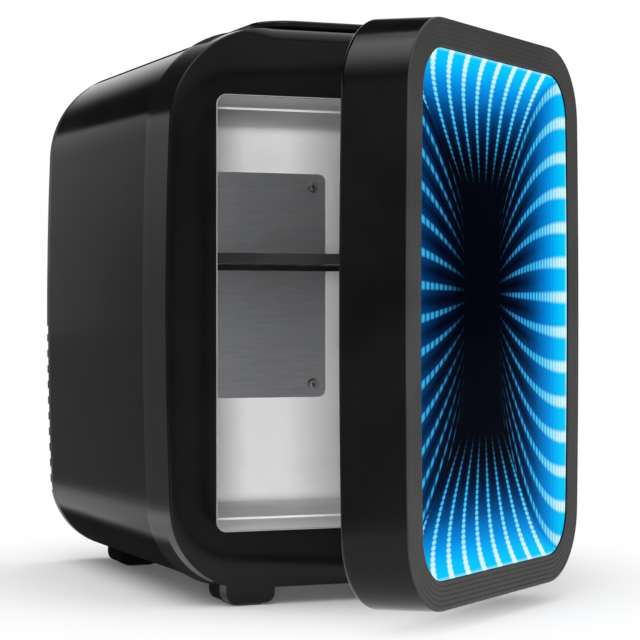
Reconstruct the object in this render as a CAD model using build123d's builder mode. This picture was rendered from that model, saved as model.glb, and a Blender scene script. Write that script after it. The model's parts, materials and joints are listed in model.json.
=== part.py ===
from build123d import *

import os
from math import cos, radians, sin, sqrt

# Thermoelectric mini fridge with a lit infinity-mirror door. The front faces -Y, +Z is up and the
# origin lies on the floor, midway between the sides, on the plane of the cabinet's front face.
# All sizes are in millimetres. Door pieces are drawn in closed-door coordinates on planes that
# are turned about the hinge, so the door stands open by door_open_angle.

# Cabinet
face_half_width = 91.0
face_bottom = 8.0
face_top = 266.3
base_corner_radius = 38.0
top_corner_radius = 48.0
side_bulge = 4.0
wall = 2.5
frame_depth = 30.0
frame_flare = 2.0
face_wall = 3.0
face_edge_radius = 1.0
shell_step = 1.0
cover_depth = 14.0
rear_edge_radius = 9.0
brow_radius = 6.5
brow_half_length = 34.0
brow_runout_radius = 48.0
brow_runout_angle = 32.0
fit_gap = 0.3
snug_gap = 0.02

# Food compartment
side_border = 24.2
top_border = 31.3
bottom_border = 26.2
opening_radius = 5.0
liner_wall = 2.0
liner_flange = 6.0
liner_depth = 146.0
liner_step = 1.0
liner_step_depth = 57.0
lower_space = 123.3
shelf_rim_height = 5.0
shelf_rim = 3.0
shelf_plate = 2.5
shelf_setback = 7.0
shelf_rear_gap = 8.0
shelf_corner_radius = 4.0
shelf_slot_width = 4.0
shelf_slot_length = 44.0
shelf_slot_pitch = 12.0
shelf_slot_columns = 9
shelf_slot_row_pitch = 54.0
ledge_width = 3.0
ledge_height = 3.0

# Feet
foot_inner = 38.0
foot_width = 24.0
foot_length = 26.0
foot_setback = 0.0
foot_corner_radius = 5.0
foot_root = 5.0
pad_height = 0.8
pad_inset = 3.0
pad_corner_radius = 3.0
rear_foot_gap = 8.0

# Cooling unit
unit_offset = 15.4
cold_plate_width = 90.0
cold_plate_height = 120.0
cold_plate_thickness = 1.5
cold_plate_radius = 4.0
plate_screw_inset = 7.0
module_size = 40.0
module_thickness = 4.0
foam_thickness = 18.0
bulkhead_thickness = 2.0
post_radius = 4.0
post_side_gap = 20.0
post_end_gap = 33.0
sink_width = 100.0
sink_height = 90.0
sink_base = 4.0
fin_depth = 18.0
fin_count = 15
fin_thickness = 1.2
fan_size = 80.0
fan_depth = 15.0
fan_corner_radius = 4.0
fan_bore_radius = 37.5
fan_hub_radius = 16.0
fan_hub_wall = 1.6
fan_hub_depth = 10.0
fan_hub_front_gap = 1.5
fan_blade_count = 7
fan_blade_chord = 11.5
fan_blade_thickness = 1.4
fan_blade_angle = 40.0
fan_blade_root = 1.0
fan_tip_gap = 1.3
fan_axle_radius = 1.5
fan_axle_gap = 0.05
fan_boss_radius = 13.0
fan_boss_depth = 3.0
fan_strut_width = 4.0
fan_screw_pitch = 71.5
fan_screw_grip = 8.0
rear_air_gap = 10.5
grille_slot_length = 36.0
grille_slot_width = 3.6
grille_column_pitch = 41.0
grille_row_pitch = 7.0
grille_rows = 11
side_slot_count = 11
side_slot_pitch = 8.5
side_slot_height = 4.5
side_slot_rise = 33.0
side_slot_reach = 10.0

# Power supply, inlets and mode switch
board_width = 104.0
board_height = 56.0
board_thickness = 1.6
board_rise = 18.0
standoff_height = 5.0
standoff_radius = 3.0
standoff_inset = 5.0
transformer_width = 30.0
transformer_height = 26.0
transformer_depth = 18.0
transformer_x = 26.0
capacitor_radius = 6.0
capacitor_depth = 17.0
capacitor_pitch = 15.0
capacitor_x = -22.0
capacitor_count = 3
inlet_rise = 58.0
panel_lip = 1.5
panel_lip_width = 2.0
panel_lip_radius = 2.0
ac_inlet_x = -44.0
ac_inlet_width = 21.0
ac_inlet_height = 13.0
ac_inlet_depth = 18.0
ac_socket_width = 16.0
ac_socket_height = 8.4
ac_socket_depth = 13.0
ac_pin_radius = 1.2
ac_pin_pitch = 8.6
ac_pin_length = 10.0
dc_inlet_x = -8.0
dc_inlet_radius = 6.0
dc_inlet_depth = 14.0
dc_hole_radius = 4.0
dc_hole_depth = 10.0
dc_pin_radius = 1.0
dc_pin_length = 8.0
switch_x = 34.0
switch_width = 15.0
switch_height = 22.0
switch_depth = 16.0
rocker_width = 10.0
rocker_radius = 8.5
rocker_flat = 7.0
rocker_notch = 1.2
rocker_setback = 5.0
rocker_gap = 0.4
rocker_pin_radius = 1.0
rocker_pin_gap = 0.05
rocker_pin_reach = 1.2

# Carrying handle
handle_setback = 15.0
handle_bar_width = 18.0
handle_arm_width = 9.0
handle_thickness = 4.0
handle_lift = 0.4
handle_corner_radius = 18.0
handle_inner_radius = 9.0
handle_edge_radius = 1.4
handle_reach = 89.0
handle_pin_radius = 1.0
handle_pin_gap = 0.06
ear_thickness = 5.0
ear_gap = 0.4
ear_radius = 2.4
ear_half_length = 6.0
ear_root = 1.0
ear_slope = 60.0

# Door
door_open_angle = 39.0
door_side_inset = 0.25
door_bottom_gap = 2.1
door_top_gap = 8.8
door_corner_radius = 33.0
door_bulge = 3.0
door_draft = 1.0
door_gap = 2.0
door_thickness = 32.0
door_wall = 3.0
door_front_wall = 2.5
door_front_radius = 1.2
door_back_radius = 3.0
border_width = 12.5
groove_count = 5
groove_pitch = 2.05
groove_width = 0.8
groove_depth = 0.6
groove_margin = 2.0
glass_recess = 1.2
glass_thickness = 3.0
glass_lap = 3.5
mirror_thickness = 2.0
tunnel_depth = 9.0
spacer_wall = 2.4
strip_width = 6.0
strip_thickness = 0.4
strip_gap = 0.05
led_long_pitch = 12.9
led_short_pitch = 13.4
led_end_gap = 6.0
led_size = 3.4
led_height = 1.2
led_gap = 0.1
liner_plate = 2.5
door_foam_inset = 16.0
plug_inset = 8.0
plug_height = 5.0
plug_draft = 2.0
gasket_inset = 1.0
gasket_width = 4.0
gasket_height = 1.7
driver_width = 40.0
driver_height = 20.0
driver_thickness = 1.6

# Hinges, catch and screws
hinge_inset = 4.5
hinge_setback = 6.5
hinge_end_gap = 52.2
hinge_half_height = 8.0
hinge_plate = 1.6
hinge_plate_reach = 10.5
hinge_plate_tail = 2.0
knuckle_radius = 4.2
hinge_pin_radius = 1.5
hinge_pin_gap = 0.06
hinge_pin_grip = 11.0
hinge_boss_height = 12.0
hinge_boss_inner = 7.5
hinge_boss_outer = 1.5
hinge_boss_depth = 12.0
hinge_notch_gap = 0.5
hinge_screw_offset = 7.3
hinge_screw_pitch = 8.4
hinge_screw_radius = 1.3
hinge_screw_head_radius = 2.4
hinge_screw_tip = 1.2
screw_cone_angle = 90.0
door_screw_inset = 4.9
magnet_width = 4.0
magnet_depth = 5.0
magnet_height = 40.0
magnet_inset = 6.0
magnet_pitch = 70.0
strike_thickness = 1.0
strike_margin = 2.0
screw_radius = 1.5
screw_head_radius = 3.2
screw_head = 1.8
screw_length = 9.0

# Places that follow from the sizes above
shell_grow = frame_flare - shell_step
shell_top = face_top + shell_grow
foam_grow = -wall
opening_half_width = face_half_width - side_border
opening_bottom = face_bottom + bottom_border
opening_top = face_top - top_border
opening_middle = (opening_bottom + opening_top) / 2
opening_height = opening_top - opening_bottom
liner_half_width = opening_half_width - liner_step
liner_back = liner_depth + liner_wall
shelf_bottom = opening_bottom + lower_space
shelf_half_width = liner_half_width - fit_gap
shelf_rear = liner_depth - shelf_rear_gap
unit_height = opening_middle + unit_offset
module_back = liner_depth + foam_thickness + module_thickness
foam_rear = module_back - bulkhead_thickness
sink_rear = module_back + sink_base + fin_depth
fan_rear = sink_rear + fan_depth
fan_blade_middle = sink_rear + fan_hub_front_gap + fan_hub_depth / 2
cover_inner = fan_rear + rear_air_gap
cabinet_depth = cover_inner + wall
shell_rear = cabinet_depth - cover_depth
panel_rear = cabinet_depth + panel_lip
board_front = module_back + standoff_height
board_rear = board_front + board_thickness
board_middle = face_bottom + board_rise + board_height / 2
inlet_height = face_bottom + inlet_rise
rocker_axis_y = cabinet_depth - rocker_setback
post_x = face_half_width - post_side_gap
post_low = face_bottom + post_end_gap
post_high = face_top - post_end_gap
post_places = [(x, z) for x in (-post_x, post_x) for z in (post_low, post_high)]
rear_foot_rear = shell_rear - rear_foot_gap
handle_half_span = face_half_width - side_bulge - top_corner_radius
handle_arm_x = handle_half_span - handle_arm_width / 2
handle_bottom = face_top + frame_flare + handle_lift
handle_pin_z = handle_bottom + handle_thickness / 2
handle_pivot_y = handle_setback + handle_reach
ear_x = handle_half_span - handle_arm_width - ear_gap
door_half_width = face_half_width - door_side_inset
door_bottom = face_bottom + door_bottom_gap
door_top = face_top - door_top_gap
door_middle = (door_bottom + door_top) / 2
door_back_y = -door_gap
door_front_y = door_back_y - door_thickness
glass_front_y = door_front_y + glass_recess
glass_back_y = glass_front_y + glass_thickness
mirror_front_y = glass_back_y + tunnel_depth
mirror_back_y = mirror_front_y + mirror_thickness
tunnel_middle_y = (glass_back_y + mirror_front_y) / 2
liner_inner_y = door_back_y - liner_plate
plug_face_y = door_back_y + plug_height
glass_inset = border_width - glass_lap
strip_inset = glass_inset + spacer_wall + strip_gap
led_inset = strip_inset + strip_thickness + led_gap
led_long_span = door_top - door_bottom - 2 * (door_corner_radius + led_end_gap)
led_short_span = 2 * (door_half_width - door_bulge - door_corner_radius - led_end_gap)
led_long_count = 1 + int(led_long_span / led_long_pitch)
led_short_count = 1 + int(led_short_span / led_short_pitch)
hinge_x = face_half_width - hinge_inset
hinge_y = -hinge_setback
hinge_heights = (door_bottom + hinge_end_gap, door_top - hinge_end_gap)
hinge_notch = hinge_half_height + hinge_notch_gap
hinge_plate_left = hinge_x - hinge_plate_reach
hinge_plate_right = hinge_x + hinge_plate_tail
hinge_notch_left = hinge_plate_left - hinge_notch_gap
hinge_screw_x = hinge_x - hinge_screw_offset
hinge_screw_length = hinge_plate + face_wall + hinge_screw_tip
boss_middle = hinge_notch + hinge_boss_height / 2
boss_left = hinge_x - hinge_boss_inner
boss_right = hinge_x + hinge_boss_outer
boss_front_y = liner_inner_y - hinge_boss_depth
door_screw_x = hinge_x - door_screw_inset
door_screw_heights = (hinge_heights[0] - boss_middle, hinge_heights[1] + boss_middle)
door_screw_places = [(x, z) for x in (-door_screw_x, door_screw_x) for z in door_screw_heights]
magnet_x = -(door_half_width - door_wall - magnet_inset)
magnet_heights = (door_middle - magnet_pitch / 2, door_middle + magnet_pitch / 2)
sides = (-1, 1)

# Planes that carry the open door
swing = radians(door_open_angle)
door_x_dir = (cos(swing), sin(swing), 0)
door_normal = (sin(swing), -cos(swing), 0)


def front_plane(y):
    """Plane across the cabinet at depth y, drawn in X and Z, with its normal towards the front."""
    return Plane.XZ.offset(-y)


def door_point(x, y, z):
    """Where a point of the closed door lies once the door has swung open."""
    dx = x - hinge_x
    dy = y - hinge_y
    open_x = hinge_x + dx * cos(swing) - dy * sin(swing)
    open_y = hinge_y + dx * sin(swing) + dy * cos(swing)
    return (open_x, open_y, z)


def door_plane(y):
    """Plane across the open door at closed depth y, drawn in closed X and Z."""
    return Plane(origin=door_point(0, y, 0), x_dir=door_x_dir, z_dir=door_normal)


def door_level(z):
    """Horizontal plane at height z, drawn in closed X and Y and turned with the door."""
    return Plane(origin=door_point(0, 0, z), x_dir=door_x_dir, z_dir=(0, 0, 1))


def bowed_outline(half_width, bottom, top, base_radius, top_radius, bulge):
    """Rectangle with rounded corners whose left and right sides bow outwards by bulge."""
    edge = half_width - bulge
    middle = (bottom + top) / 2
    with BuildSketch() as outline:
        with BuildLine():
            Line((-edge, bottom), (edge, bottom))
            ThreePointArc((edge, bottom), (half_width, middle), (edge, top))
            Line((edge, top), (-edge, top))
            ThreePointArc((-edge, top), (-half_width, middle), (-edge, bottom))
        make_face()
        fillet(outline.vertices().group_by(Axis.Y)[0], base_radius)
        fillet(outline.vertices().group_by(Axis.Y)[-1], top_radius)
    return outline.sketch


def cabinet_outline(grow):
    """Outline of the cabinet's front face, grown outwards."""
    return bowed_outline(
        face_half_width + grow,
        face_bottom - grow,
        face_top + grow,
        base_corner_radius + grow,
        top_corner_radius + grow,
        side_bulge,
    )


def door_outline(inset):
    """Outline of the door's front, drawn inwards by inset."""
    half_width = door_half_width - inset
    radius = door_corner_radius - inset
    return bowed_outline(
        half_width, door_bottom + inset, door_top - inset, radius, radius, door_bulge
    )


def door_side_x(inset, z):
    """Half width of door_outline(inset) at height z on its bowed side."""
    half_chord = door_middle - door_bottom - inset
    bow_radius = (half_chord**2 + door_bulge**2) / (2 * door_bulge)
    drop = bow_radius - sqrt(bow_radius**2 - (z - door_middle) ** 2)
    return door_half_width - inset - drop


def opening_outline(grow, radius):
    """Outline of the food compartment, grown outwards."""
    with BuildSketch() as outline:
        with Locations((0, opening_middle)):
            RectangleRounded(
                2 * (opening_half_width + grow), opening_height + 2 * grow, radius
            )
    return outline.sketch


def save(builder, name):
    """Label a finished piece and write it to its own file."""
    builder.part.label = name
    export_step(builder.part, f"parts/{name}.step")


os.makedirs("parts", exist_ok=True)

# Front frame: flared collar, front face, rounded brow and two moulded front feet
with BuildPart() as frame_hollow:
    with BuildSketch(front_plane(face_wall)):
        add(cabinet_outline(frame_flare * face_wall / frame_depth - wall))
    with BuildSketch(front_plane(frame_depth)):
        add(cabinet_outline(frame_flare - wall))
    loft()

with BuildSketch() as brow_profile:
    brow_rear_z = face_top + frame_flare * brow_radius / frame_depth
    with BuildLine():
        TangentArc((0, face_top - brow_radius), (brow_radius, brow_rear_z), tangent=(0, 1))
        Polyline(
            (brow_radius, brow_rear_z),
            (brow_radius, face_top + brow_radius),
            (-brow_radius, face_top + brow_radius),
            (-brow_radius, face_top - brow_radius),
            (0, face_top - brow_radius),
        )
    make_face()

with BuildPart() as brow_cut:
    with BuildSketch(Plane.YZ.offset(-brow_half_length)):
        add(brow_profile.sketch)
    extrude(amount=2 * brow_half_length)
    for side in sides:
        with BuildSketch(Plane.YZ.offset(side * brow_half_length)):
            add(brow_profile.sketch)
        runout_centre = (side * brow_half_length, 0, face_top + brow_runout_radius)
        revolve(axis=Axis(runout_centre, (0, -side, 0)), revolution_arc=brow_runout_angle)

with BuildSketch() as foot_profile:
    foot_top = face_bottom + foot_root
    with GridLocations(2 * foot_inner + foot_width, 0, 2, 1):
        with Locations((0, (pad_height + foot_top) / 2)):
            Rectangle(foot_width, foot_top - pad_height)
    fillet(foot_profile.vertices().group_by(Axis.Y)[0], foot_corner_radius)

with BuildPart() as front_frame:
    with BuildSketch(front_plane(0)):
        add(cabinet_outline(0))
    with BuildSketch(front_plane(frame_depth)):
        add(cabinet_outline(frame_flare))
    loft()
    fillet(front_frame.faces().sort_by(Axis.Y)[0].edges(), face_edge_radius)
    add(brow_cut.part, mode=Mode.SUBTRACT)
    with BuildSketch(front_plane(foot_setback + foot_length)):
        add(foot_profile.sketch)
    extrude(amount=foot_length)
    add(frame_hollow.part, mode=Mode.SUBTRACT)
    with BuildSketch(front_plane(face_wall)):
        add(opening_outline(0, opening_radius))
        with Locations(*[(hinge_screw_x, z) for z in hinge_heights]):
            with GridLocations(0, hinge_screw_pitch, 1, 2):
                Circle(hinge_screw_radius + snug_gap)
    extrude(amount=face_wall, mode=Mode.SUBTRACT)
save(front_frame, "front_frame")

# Rear shell: tube of the cabinet with a handle ear at each side of its top and two moulded rear feet
with BuildSketch() as ear_profile:
    ear_base_z = shell_top - ear_root
    with Locations((handle_pivot_y, (ear_base_z + handle_pin_z) / 2)):
        Trapezoid(2 * ear_half_length, handle_pin_z - ear_base_z, ear_slope)
    with Locations((handle_pivot_y, handle_pin_z)):
        Circle(ear_radius)
        Circle(handle_pin_radius + snug_gap, mode=Mode.SUBTRACT)

with BuildPart() as rear_shell:
    with BuildSketch(front_plane(shell_rear)):
        add(cabinet_outline(shell_grow))
        add(cabinet_outline(shell_grow - wall), mode=Mode.SUBTRACT)
    extrude(amount=shell_rear - frame_depth)
    with BuildSketch(front_plane(rear_foot_rear)):
        add(foot_profile.sketch)
        add(cabinet_outline(shell_grow - wall), mode=Mode.SUBTRACT)
    extrude(amount=foot_length)
    for side in sides:
        with BuildSketch(Plane.YZ.offset(side * ear_x)):
            add(ear_profile.sketch)
        extrude(amount=-side * ear_thickness)
save(rear_shell, "rear_shell")

# Rear cover: pan with a rounded edge, fan grille, corner vent slots and cut-outs for the panel pieces
with BuildPart() as cover_hollow:
    with BuildSketch(front_plane(cover_inner)):
        add(cabinet_outline(shell_grow - wall))
    extrude(amount=cover_inner - shell_rear)
    fillet(cover_hollow.faces().sort_by(Axis.Y)[-1].edges(), rear_edge_radius - wall)

with BuildPart() as rear_cover:
    with BuildSketch(front_plane(cabinet_depth)):
        add(cabinet_outline(shell_grow))
    extrude(amount=cover_depth)
    fillet(rear_cover.faces().sort_by(Axis.Y)[-1].edges(), rear_edge_radius)
    add(cover_hollow.part, mode=Mode.SUBTRACT)
    with BuildSketch(front_plane(cabinet_depth)):
        with Locations((0, unit_height)):
            with GridLocations(grille_column_pitch, grille_row_pitch, 2, grille_rows):
                SlotOverall(grille_slot_length, grille_slot_width)
        with Locations((ac_inlet_x, inlet_height)):
            Rectangle(ac_inlet_width + 2 * snug_gap, ac_inlet_height + 2 * snug_gap)
        with Locations((dc_inlet_x, inlet_height)):
            Circle(dc_inlet_radius + snug_gap)
        with Locations((switch_x, inlet_height)):
            Rectangle(switch_width + 2 * snug_gap, switch_height + 2 * snug_gap)
        with Locations(*post_places):
            Circle(screw_radius + fit_gap)
    extrude(amount=wall, mode=Mode.SUBTRACT)
    slot_middle = face_bottom + side_slot_rise + side_slot_pitch * (side_slot_count - 1) / 2
    with BuildSketch(front_plane(cabinet_depth)):
        with Locations((0, slot_middle)):
            with GridLocations(
                2 * (face_half_width + shell_grow), side_slot_pitch, 2, side_slot_count
            ):
                Rectangle(2 * side_slot_reach, side_slot_height)
    extrude(amount=side_slot_reach, mode=Mode.SUBTRACT)
save(rear_cover, "rear_cover")

# Inner liner: pale tub with a shallow step, shelf ledges and a window for the cold block
with BuildPart() as liner_hollow:
    with BuildSketch(front_plane(liner_depth)):
        add(opening_outline(-liner_step, opening_radius))
    extrude(amount=liner_depth - face_wall)
    fillet(liner_hollow.faces().sort_by(Axis.Y)[-1].edges(), opening_radius - snug_gap)
    with BuildSketch(front_plane(liner_step_depth)):
        add(opening_outline(0, opening_radius))
    extrude(amount=liner_step_depth - face_wall)

with BuildSketch() as plate_screw_holes:
    with Locations((0, unit_height)):
        with GridLocations(
            cold_plate_width - 2 * plate_screw_inset,
            cold_plate_height - 2 * plate_screw_inset,
            2,
            2,
        ):
            Circle(screw_radius + snug_gap)

with BuildPart() as inner_liner:
    with BuildSketch(front_plane(liner_back)):
        add(opening_outline(liner_wall, opening_radius + liner_wall))
    extrude(amount=liner_back - face_wall)
    with BuildSketch(front_plane(face_wall + liner_wall)):
        add(opening_outline(liner_wall + liner_flange, opening_radius + liner_wall))
    extrude(amount=liner_wall)
    add(liner_hollow.part, mode=Mode.SUBTRACT)
    with BuildSketch(front_plane(shelf_rear)):
        with Locations((0, shelf_bottom - ledge_height / 2)):
            with GridLocations(2 * liner_half_width, 0, 2, 1):
                Rectangle(2 * ledge_width, ledge_height)
        add(opening_outline(liner_wall, opening_radius), mode=Mode.INTERSECT)
    extrude(amount=shelf_rear - 2 * shelf_setback)
    with BuildSketch(front_plane(liner_back)):
        with Locations((0, unit_height)):
            Rectangle(module_size + 2 * fit_gap, module_size + 2 * fit_gap)
        add(plate_screw_holes.sketch)
    extrude(amount=liner_wall, mode=Mode.SUBTRACT)
save(inner_liner, "inner_liner")

# Foam jacket between the liner and the cabinet, with a channel for the cold block
with BuildPart() as insulation_foam:
    foam_front = face_wall + liner_wall
    with BuildSketch(front_plane(foam_rear)):
        add(cabinet_outline(foam_grow))
    extrude(amount=foam_rear - foam_front)
    with BuildSketch(front_plane(liner_back)):
        add(opening_outline(liner_wall + fit_gap, opening_radius + liner_wall))
    extrude(amount=liner_back - foam_front, mode=Mode.SUBTRACT)
    with BuildSketch(front_plane(foam_rear)):
        with Locations((0, unit_height)):
            Rectangle(module_size + 2 * fit_gap, module_size + 2 * fit_gap)
        add(plate_screw_holes.sketch)
    extrude(amount=foam_rear - liner_back, mode=Mode.SUBTRACT)
save(insulation_foam, "insulation_foam")

# Shelf: slotted plate with a rim below, resting on the liner's ledges
with BuildPart() as shelf:
    shelf_length = shelf_rear - shelf_setback
    shelf_middle = (shelf_rear + shelf_setback) / 2
    with BuildSketch(Plane.XY.offset(shelf_bottom)):
        with Locations((0, shelf_middle)):
            RectangleRounded(2 * shelf_half_width, shelf_length, shelf_corner_radius)
    extrude(amount=shelf_rim_height)
    with BuildSketch(Plane.XY.offset(shelf_bottom)):
        with Locations((0, shelf_middle)):
            RectangleRounded(
                2 * (shelf_half_width - shelf_rim),
                shelf_length - 2 * shelf_rim,
                shelf_corner_radius / 2,
            )
    extrude(amount=shelf_rim_height - shelf_plate, mode=Mode.SUBTRACT)
    with BuildSketch(Plane.XY.offset(shelf_bottom)):
        with Locations((0, shelf_middle)):
            with GridLocations(shelf_slot_pitch, shelf_slot_row_pitch, shelf_slot_columns, 2):
                SlotOverall(shelf_slot_length, shelf_slot_width, rotation=90)
    extrude(amount=shelf_rim_height, mode=Mode.SUBTRACT)
save(shelf, "shelf")

# Cold plate on the liner's back wall, with its screws
with BuildPart() as cold_plate:
    with BuildSketch(front_plane(liner_depth)):
        with Locations((0, unit_height)):
            RectangleRounded(cold_plate_width, cold_plate_height, cold_plate_radius)
        add(plate_screw_holes.sketch, mode=Mode.SUBTRACT)
    extrude(amount=cold_plate_thickness)
save(cold_plate, "cold_plate")

with BuildPart() as cold_plate_screws:
    plate_front = liner_depth - cold_plate_thickness
    with BuildSketch(front_plane(plate_front)):
        with Locations((0, unit_height)):
            with GridLocations(
                cold_plate_width - 2 * plate_screw_inset,
                cold_plate_height - 2 * plate_screw_inset,
                2,
                2,
            ):
                Circle(screw_head_radius)
    extrude(amount=screw_head)
    fillet(cold_plate_screws.faces().group_by(Axis.Y)[0].edges(), screw_head / 2)
    with BuildSketch(front_plane(plate_front + screw_length)):
        with Locations((0, unit_height)):
            with GridLocations(
                cold_plate_width - 2 * plate_screw_inset,
                cold_plate_height - 2 * plate_screw_inset,
                2,
                2,
            ):
                Circle(screw_radius)
    extrude(amount=screw_length)
save(cold_plate_screws, "cold_plate_screws")

# Cold block and thermoelectric module, one behind the other
with BuildPart() as cold_block:
    with BuildSketch(front_plane(liner_depth + foam_thickness)):
        with Locations((0, unit_height)):
            Rectangle(module_size, module_size)
    extrude(amount=foam_thickness)
save(cold_block, "cold_block")

with BuildPart() as peltier_module:
    with BuildSketch(front_plane(module_back)):
        with Locations((0, unit_height)):
            Rectangle(module_size, module_size)
    extrude(amount=module_thickness)
save(peltier_module, "peltier_module")

# Rear bulkhead: plate behind the foam with four posts that take the rear cover's screws
with BuildPart() as rear_bulkhead:
    with BuildSketch(front_plane(module_back)):
        add(cabinet_outline(foam_grow))
        with Locations((0, unit_height)):
            Rectangle(module_size + 2 * fit_gap, module_size + 2 * fit_gap, mode=Mode.SUBTRACT)
    extrude(amount=bulkhead_thickness)
    with BuildSketch(front_plane(cover_inner)):
        with Locations(*post_places):
            Circle(post_radius)
    extrude(amount=cover_inner - module_back)
    with BuildSketch(front_plane(cover_inner)):
        with Locations(*post_places):
            Circle(screw_radius + snug_gap)
    extrude(amount=screw_length, mode=Mode.SUBTRACT)
save(rear_bulkhead, "rear_bulkhead")

with BuildPart() as rear_cover_screws:
    with BuildSketch(front_plane(cabinet_depth + screw_head)):
        with Locations(*post_places):
            Circle(screw_head_radius)
    extrude(amount=screw_head)
    fillet(rear_cover_screws.faces().group_by(Axis.Y)[-1].edges(), screw_head / 2)
    with BuildSketch(front_plane(cabinet_depth)):
        with Locations(*post_places):
            Circle(screw_radius)
    extrude(amount=screw_length)
save(rear_cover_screws, "rear_cover_screws")

# Heat sink: base with upright fins, drilled for the fan's screws
with BuildSketch() as fan_screw_places:
    with Locations((0, unit_height)):
        with GridLocations(fan_screw_pitch, fan_screw_pitch, 2, 2):
            Circle(screw_radius)

with BuildPart() as heat_sink:
    with BuildSketch(front_plane(module_back + sink_base)):
        with Locations((0, unit_height)):
            Rectangle(sink_width, sink_height)
    extrude(amount=sink_base)
    fin_pitch = (sink_width - fin_thickness) / (fin_count - 1)
    with BuildSketch(front_plane(sink_rear)):
        with Locations((0, unit_height)):
            with GridLocations(fin_pitch, 0, fin_count, 1):
                Rectangle(fin_thickness, sink_height)
    extrude(amount=fin_depth)
    with BuildSketch(front_plane(sink_rear)):
        add(fan_screw_places.sketch)
        offset(amount=snug_gap)
    extrude(amount=fan_screw_grip, mode=Mode.SUBTRACT)
save(heat_sink, "heat_sink")

# Fan: square frame with a strutted motor boss, rotor on an axle, and four screws
with BuildPart() as fan_frame:
    with BuildSketch(front_plane(fan_rear)):
        with Locations((0, unit_height)):
            RectangleRounded(fan_size, fan_size, fan_corner_radius)
            Circle(fan_bore_radius, mode=Mode.SUBTRACT)
    extrude(amount=fan_depth)
    with BuildSketch(front_plane(fan_rear)):
        with Locations((0, unit_height)):
            Circle(fan_boss_radius)
            Rectangle(2 * fan_bore_radius + fan_strut_width, fan_strut_width)
            Rectangle(fan_strut_width, 2 * fan_bore_radius + fan_strut_width)
            Circle(fan_axle_radius + fan_axle_gap, mode=Mode.SUBTRACT)
    extrude(amount=fan_boss_depth)
    with BuildSketch(front_plane(fan_rear)):
        add(fan_screw_places.sketch)
        offset(amount=fit_gap)
    extrude(amount=fan_depth, mode=Mode.SUBTRACT)
save(fan_frame, "fan_frame")

with BuildPart() as fan_rotor:
    hub_front = sink_rear + fan_hub_front_gap
    hub_rear = hub_front + fan_hub_depth
    with BuildSketch(front_plane(hub_rear)):
        with Locations((0, unit_height)):
            Circle(fan_hub_radius)
    extrude(amount=fan_hub_depth)
    for blade in range(fan_blade_count):
        turn = radians(360 * blade / fan_blade_count)
        blade_plane = Plane(
            origin=(0, fan_blade_middle, unit_height),
            x_dir=(0, 1, 0),
            z_dir=(cos(turn), 0, sin(turn)),
        )
        blade_length = fan_bore_radius - fan_tip_gap - fan_hub_radius + fan_blade_root
        with BuildSketch(blade_plane.offset(fan_hub_radius - fan_blade_root)):
            Rectangle(fan_blade_chord, fan_blade_thickness, rotation=fan_blade_angle)
        extrude(amount=blade_length)
    with BuildSketch(front_plane(hub_rear)):
        with Locations((0, unit_height)):
            Circle(fan_hub_radius - fan_hub_wall)
            Circle(fan_axle_radius + 2 * fan_hub_wall, mode=Mode.SUBTRACT)
    extrude(amount=fan_hub_depth - fan_hub_wall, mode=Mode.SUBTRACT)
    with BuildSketch(front_plane(hub_rear)):
        with Locations((0, unit_height)):
            Circle(fan_axle_radius + snug_gap)
    extrude(amount=fan_hub_depth - fan_hub_wall, mode=Mode.SUBTRACT)
save(fan_rotor, "fan_rotor")

with BuildPart() as fan_axle:
    axle_front = hub_front + fan_hub_wall
    with BuildSketch(front_plane(fan_rear)):
        with Locations((0, unit_height)):
            Circle(fan_axle_radius)
    extrude(amount=fan_rear - axle_front)
save(fan_axle, "fan_axle")

with BuildPart() as fan_screws:
    with BuildSketch(front_plane(fan_rear + screw_head)):
        add(fan_screw_places.sketch)
        offset(amount=screw_head_radius - screw_radius)
    extrude(amount=screw_head)
    fillet(fan_screws.faces().group_by(Axis.Y)[-1].edges(), screw_head / 2)
    with BuildSketch(front_plane(fan_rear)):
        add(fan_screw_places.sketch)
    extrude(amount=fan_depth + fan_screw_grip)
save(fan_screws, "fan_screws")

# Power board on standoffs with its transformer and capacitors
with BuildPart() as board_standoffs:
    with BuildSketch(front_plane(board_front)):
        with Locations((0, board_middle)):
            with GridLocations(
                board_width - 2 * standoff_inset, board_height - 2 * standoff_inset, 2, 2
            ):
                Circle(standoff_radius)
    extrude(amount=standoff_height)
save(board_standoffs, "board_standoffs")

with BuildPart() as power_board:
    with BuildSketch(front_plane(board_rear)):
        with Locations((0, board_middle)):
            Rectangle(board_width, board_height)
    extrude(amount=board_thickness)
save(power_board, "power_board")

with BuildPart() as transformer:
    with BuildSketch(front_plane(board_rear + transformer_depth)):
        with Locations((transformer_x, board_middle)):
            Rectangle(transformer_width, transformer_height)
    extrude(amount=transformer_depth)
save(transformer, "transformer")

with BuildPart() as capacitors:
    with BuildSketch(front_plane(board_rear + capacitor_depth)):
        with Locations((capacitor_x, board_middle)):
            with GridLocations(capacitor_pitch, 0, capacitor_count, 1):
                Circle(capacitor_radius)
    extrude(amount=capacitor_depth)
save(capacitors, "capacitors")

# Mains inlet: two-pin socket set through the rear cover
with BuildPart() as ac_inlet:
    with BuildSketch(front_plane(panel_rear)):
        with Locations((ac_inlet_x, inlet_height)):
            RectangleRounded(
                ac_inlet_width + 2 * panel_lip_width,
                ac_inlet_height + 2 * panel_lip_width,
                panel_lip_radius,
            )
    extrude(amount=panel_lip)
    with BuildSketch(front_plane(cabinet_depth)):
        with Locations((ac_inlet_x, inlet_height)):
            Rectangle(ac_inlet_width, ac_inlet_height)
    extrude(amount=ac_inlet_depth)
    with BuildSketch(front_plane(panel_rear)):
        with Locations((ac_inlet_x, inlet_height)):
            SlotOverall(ac_socket_width, ac_socket_height)
    extrude(amount=ac_socket_depth, mode=Mode.SUBTRACT)
save(ac_inlet, "ac_inlet")

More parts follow.
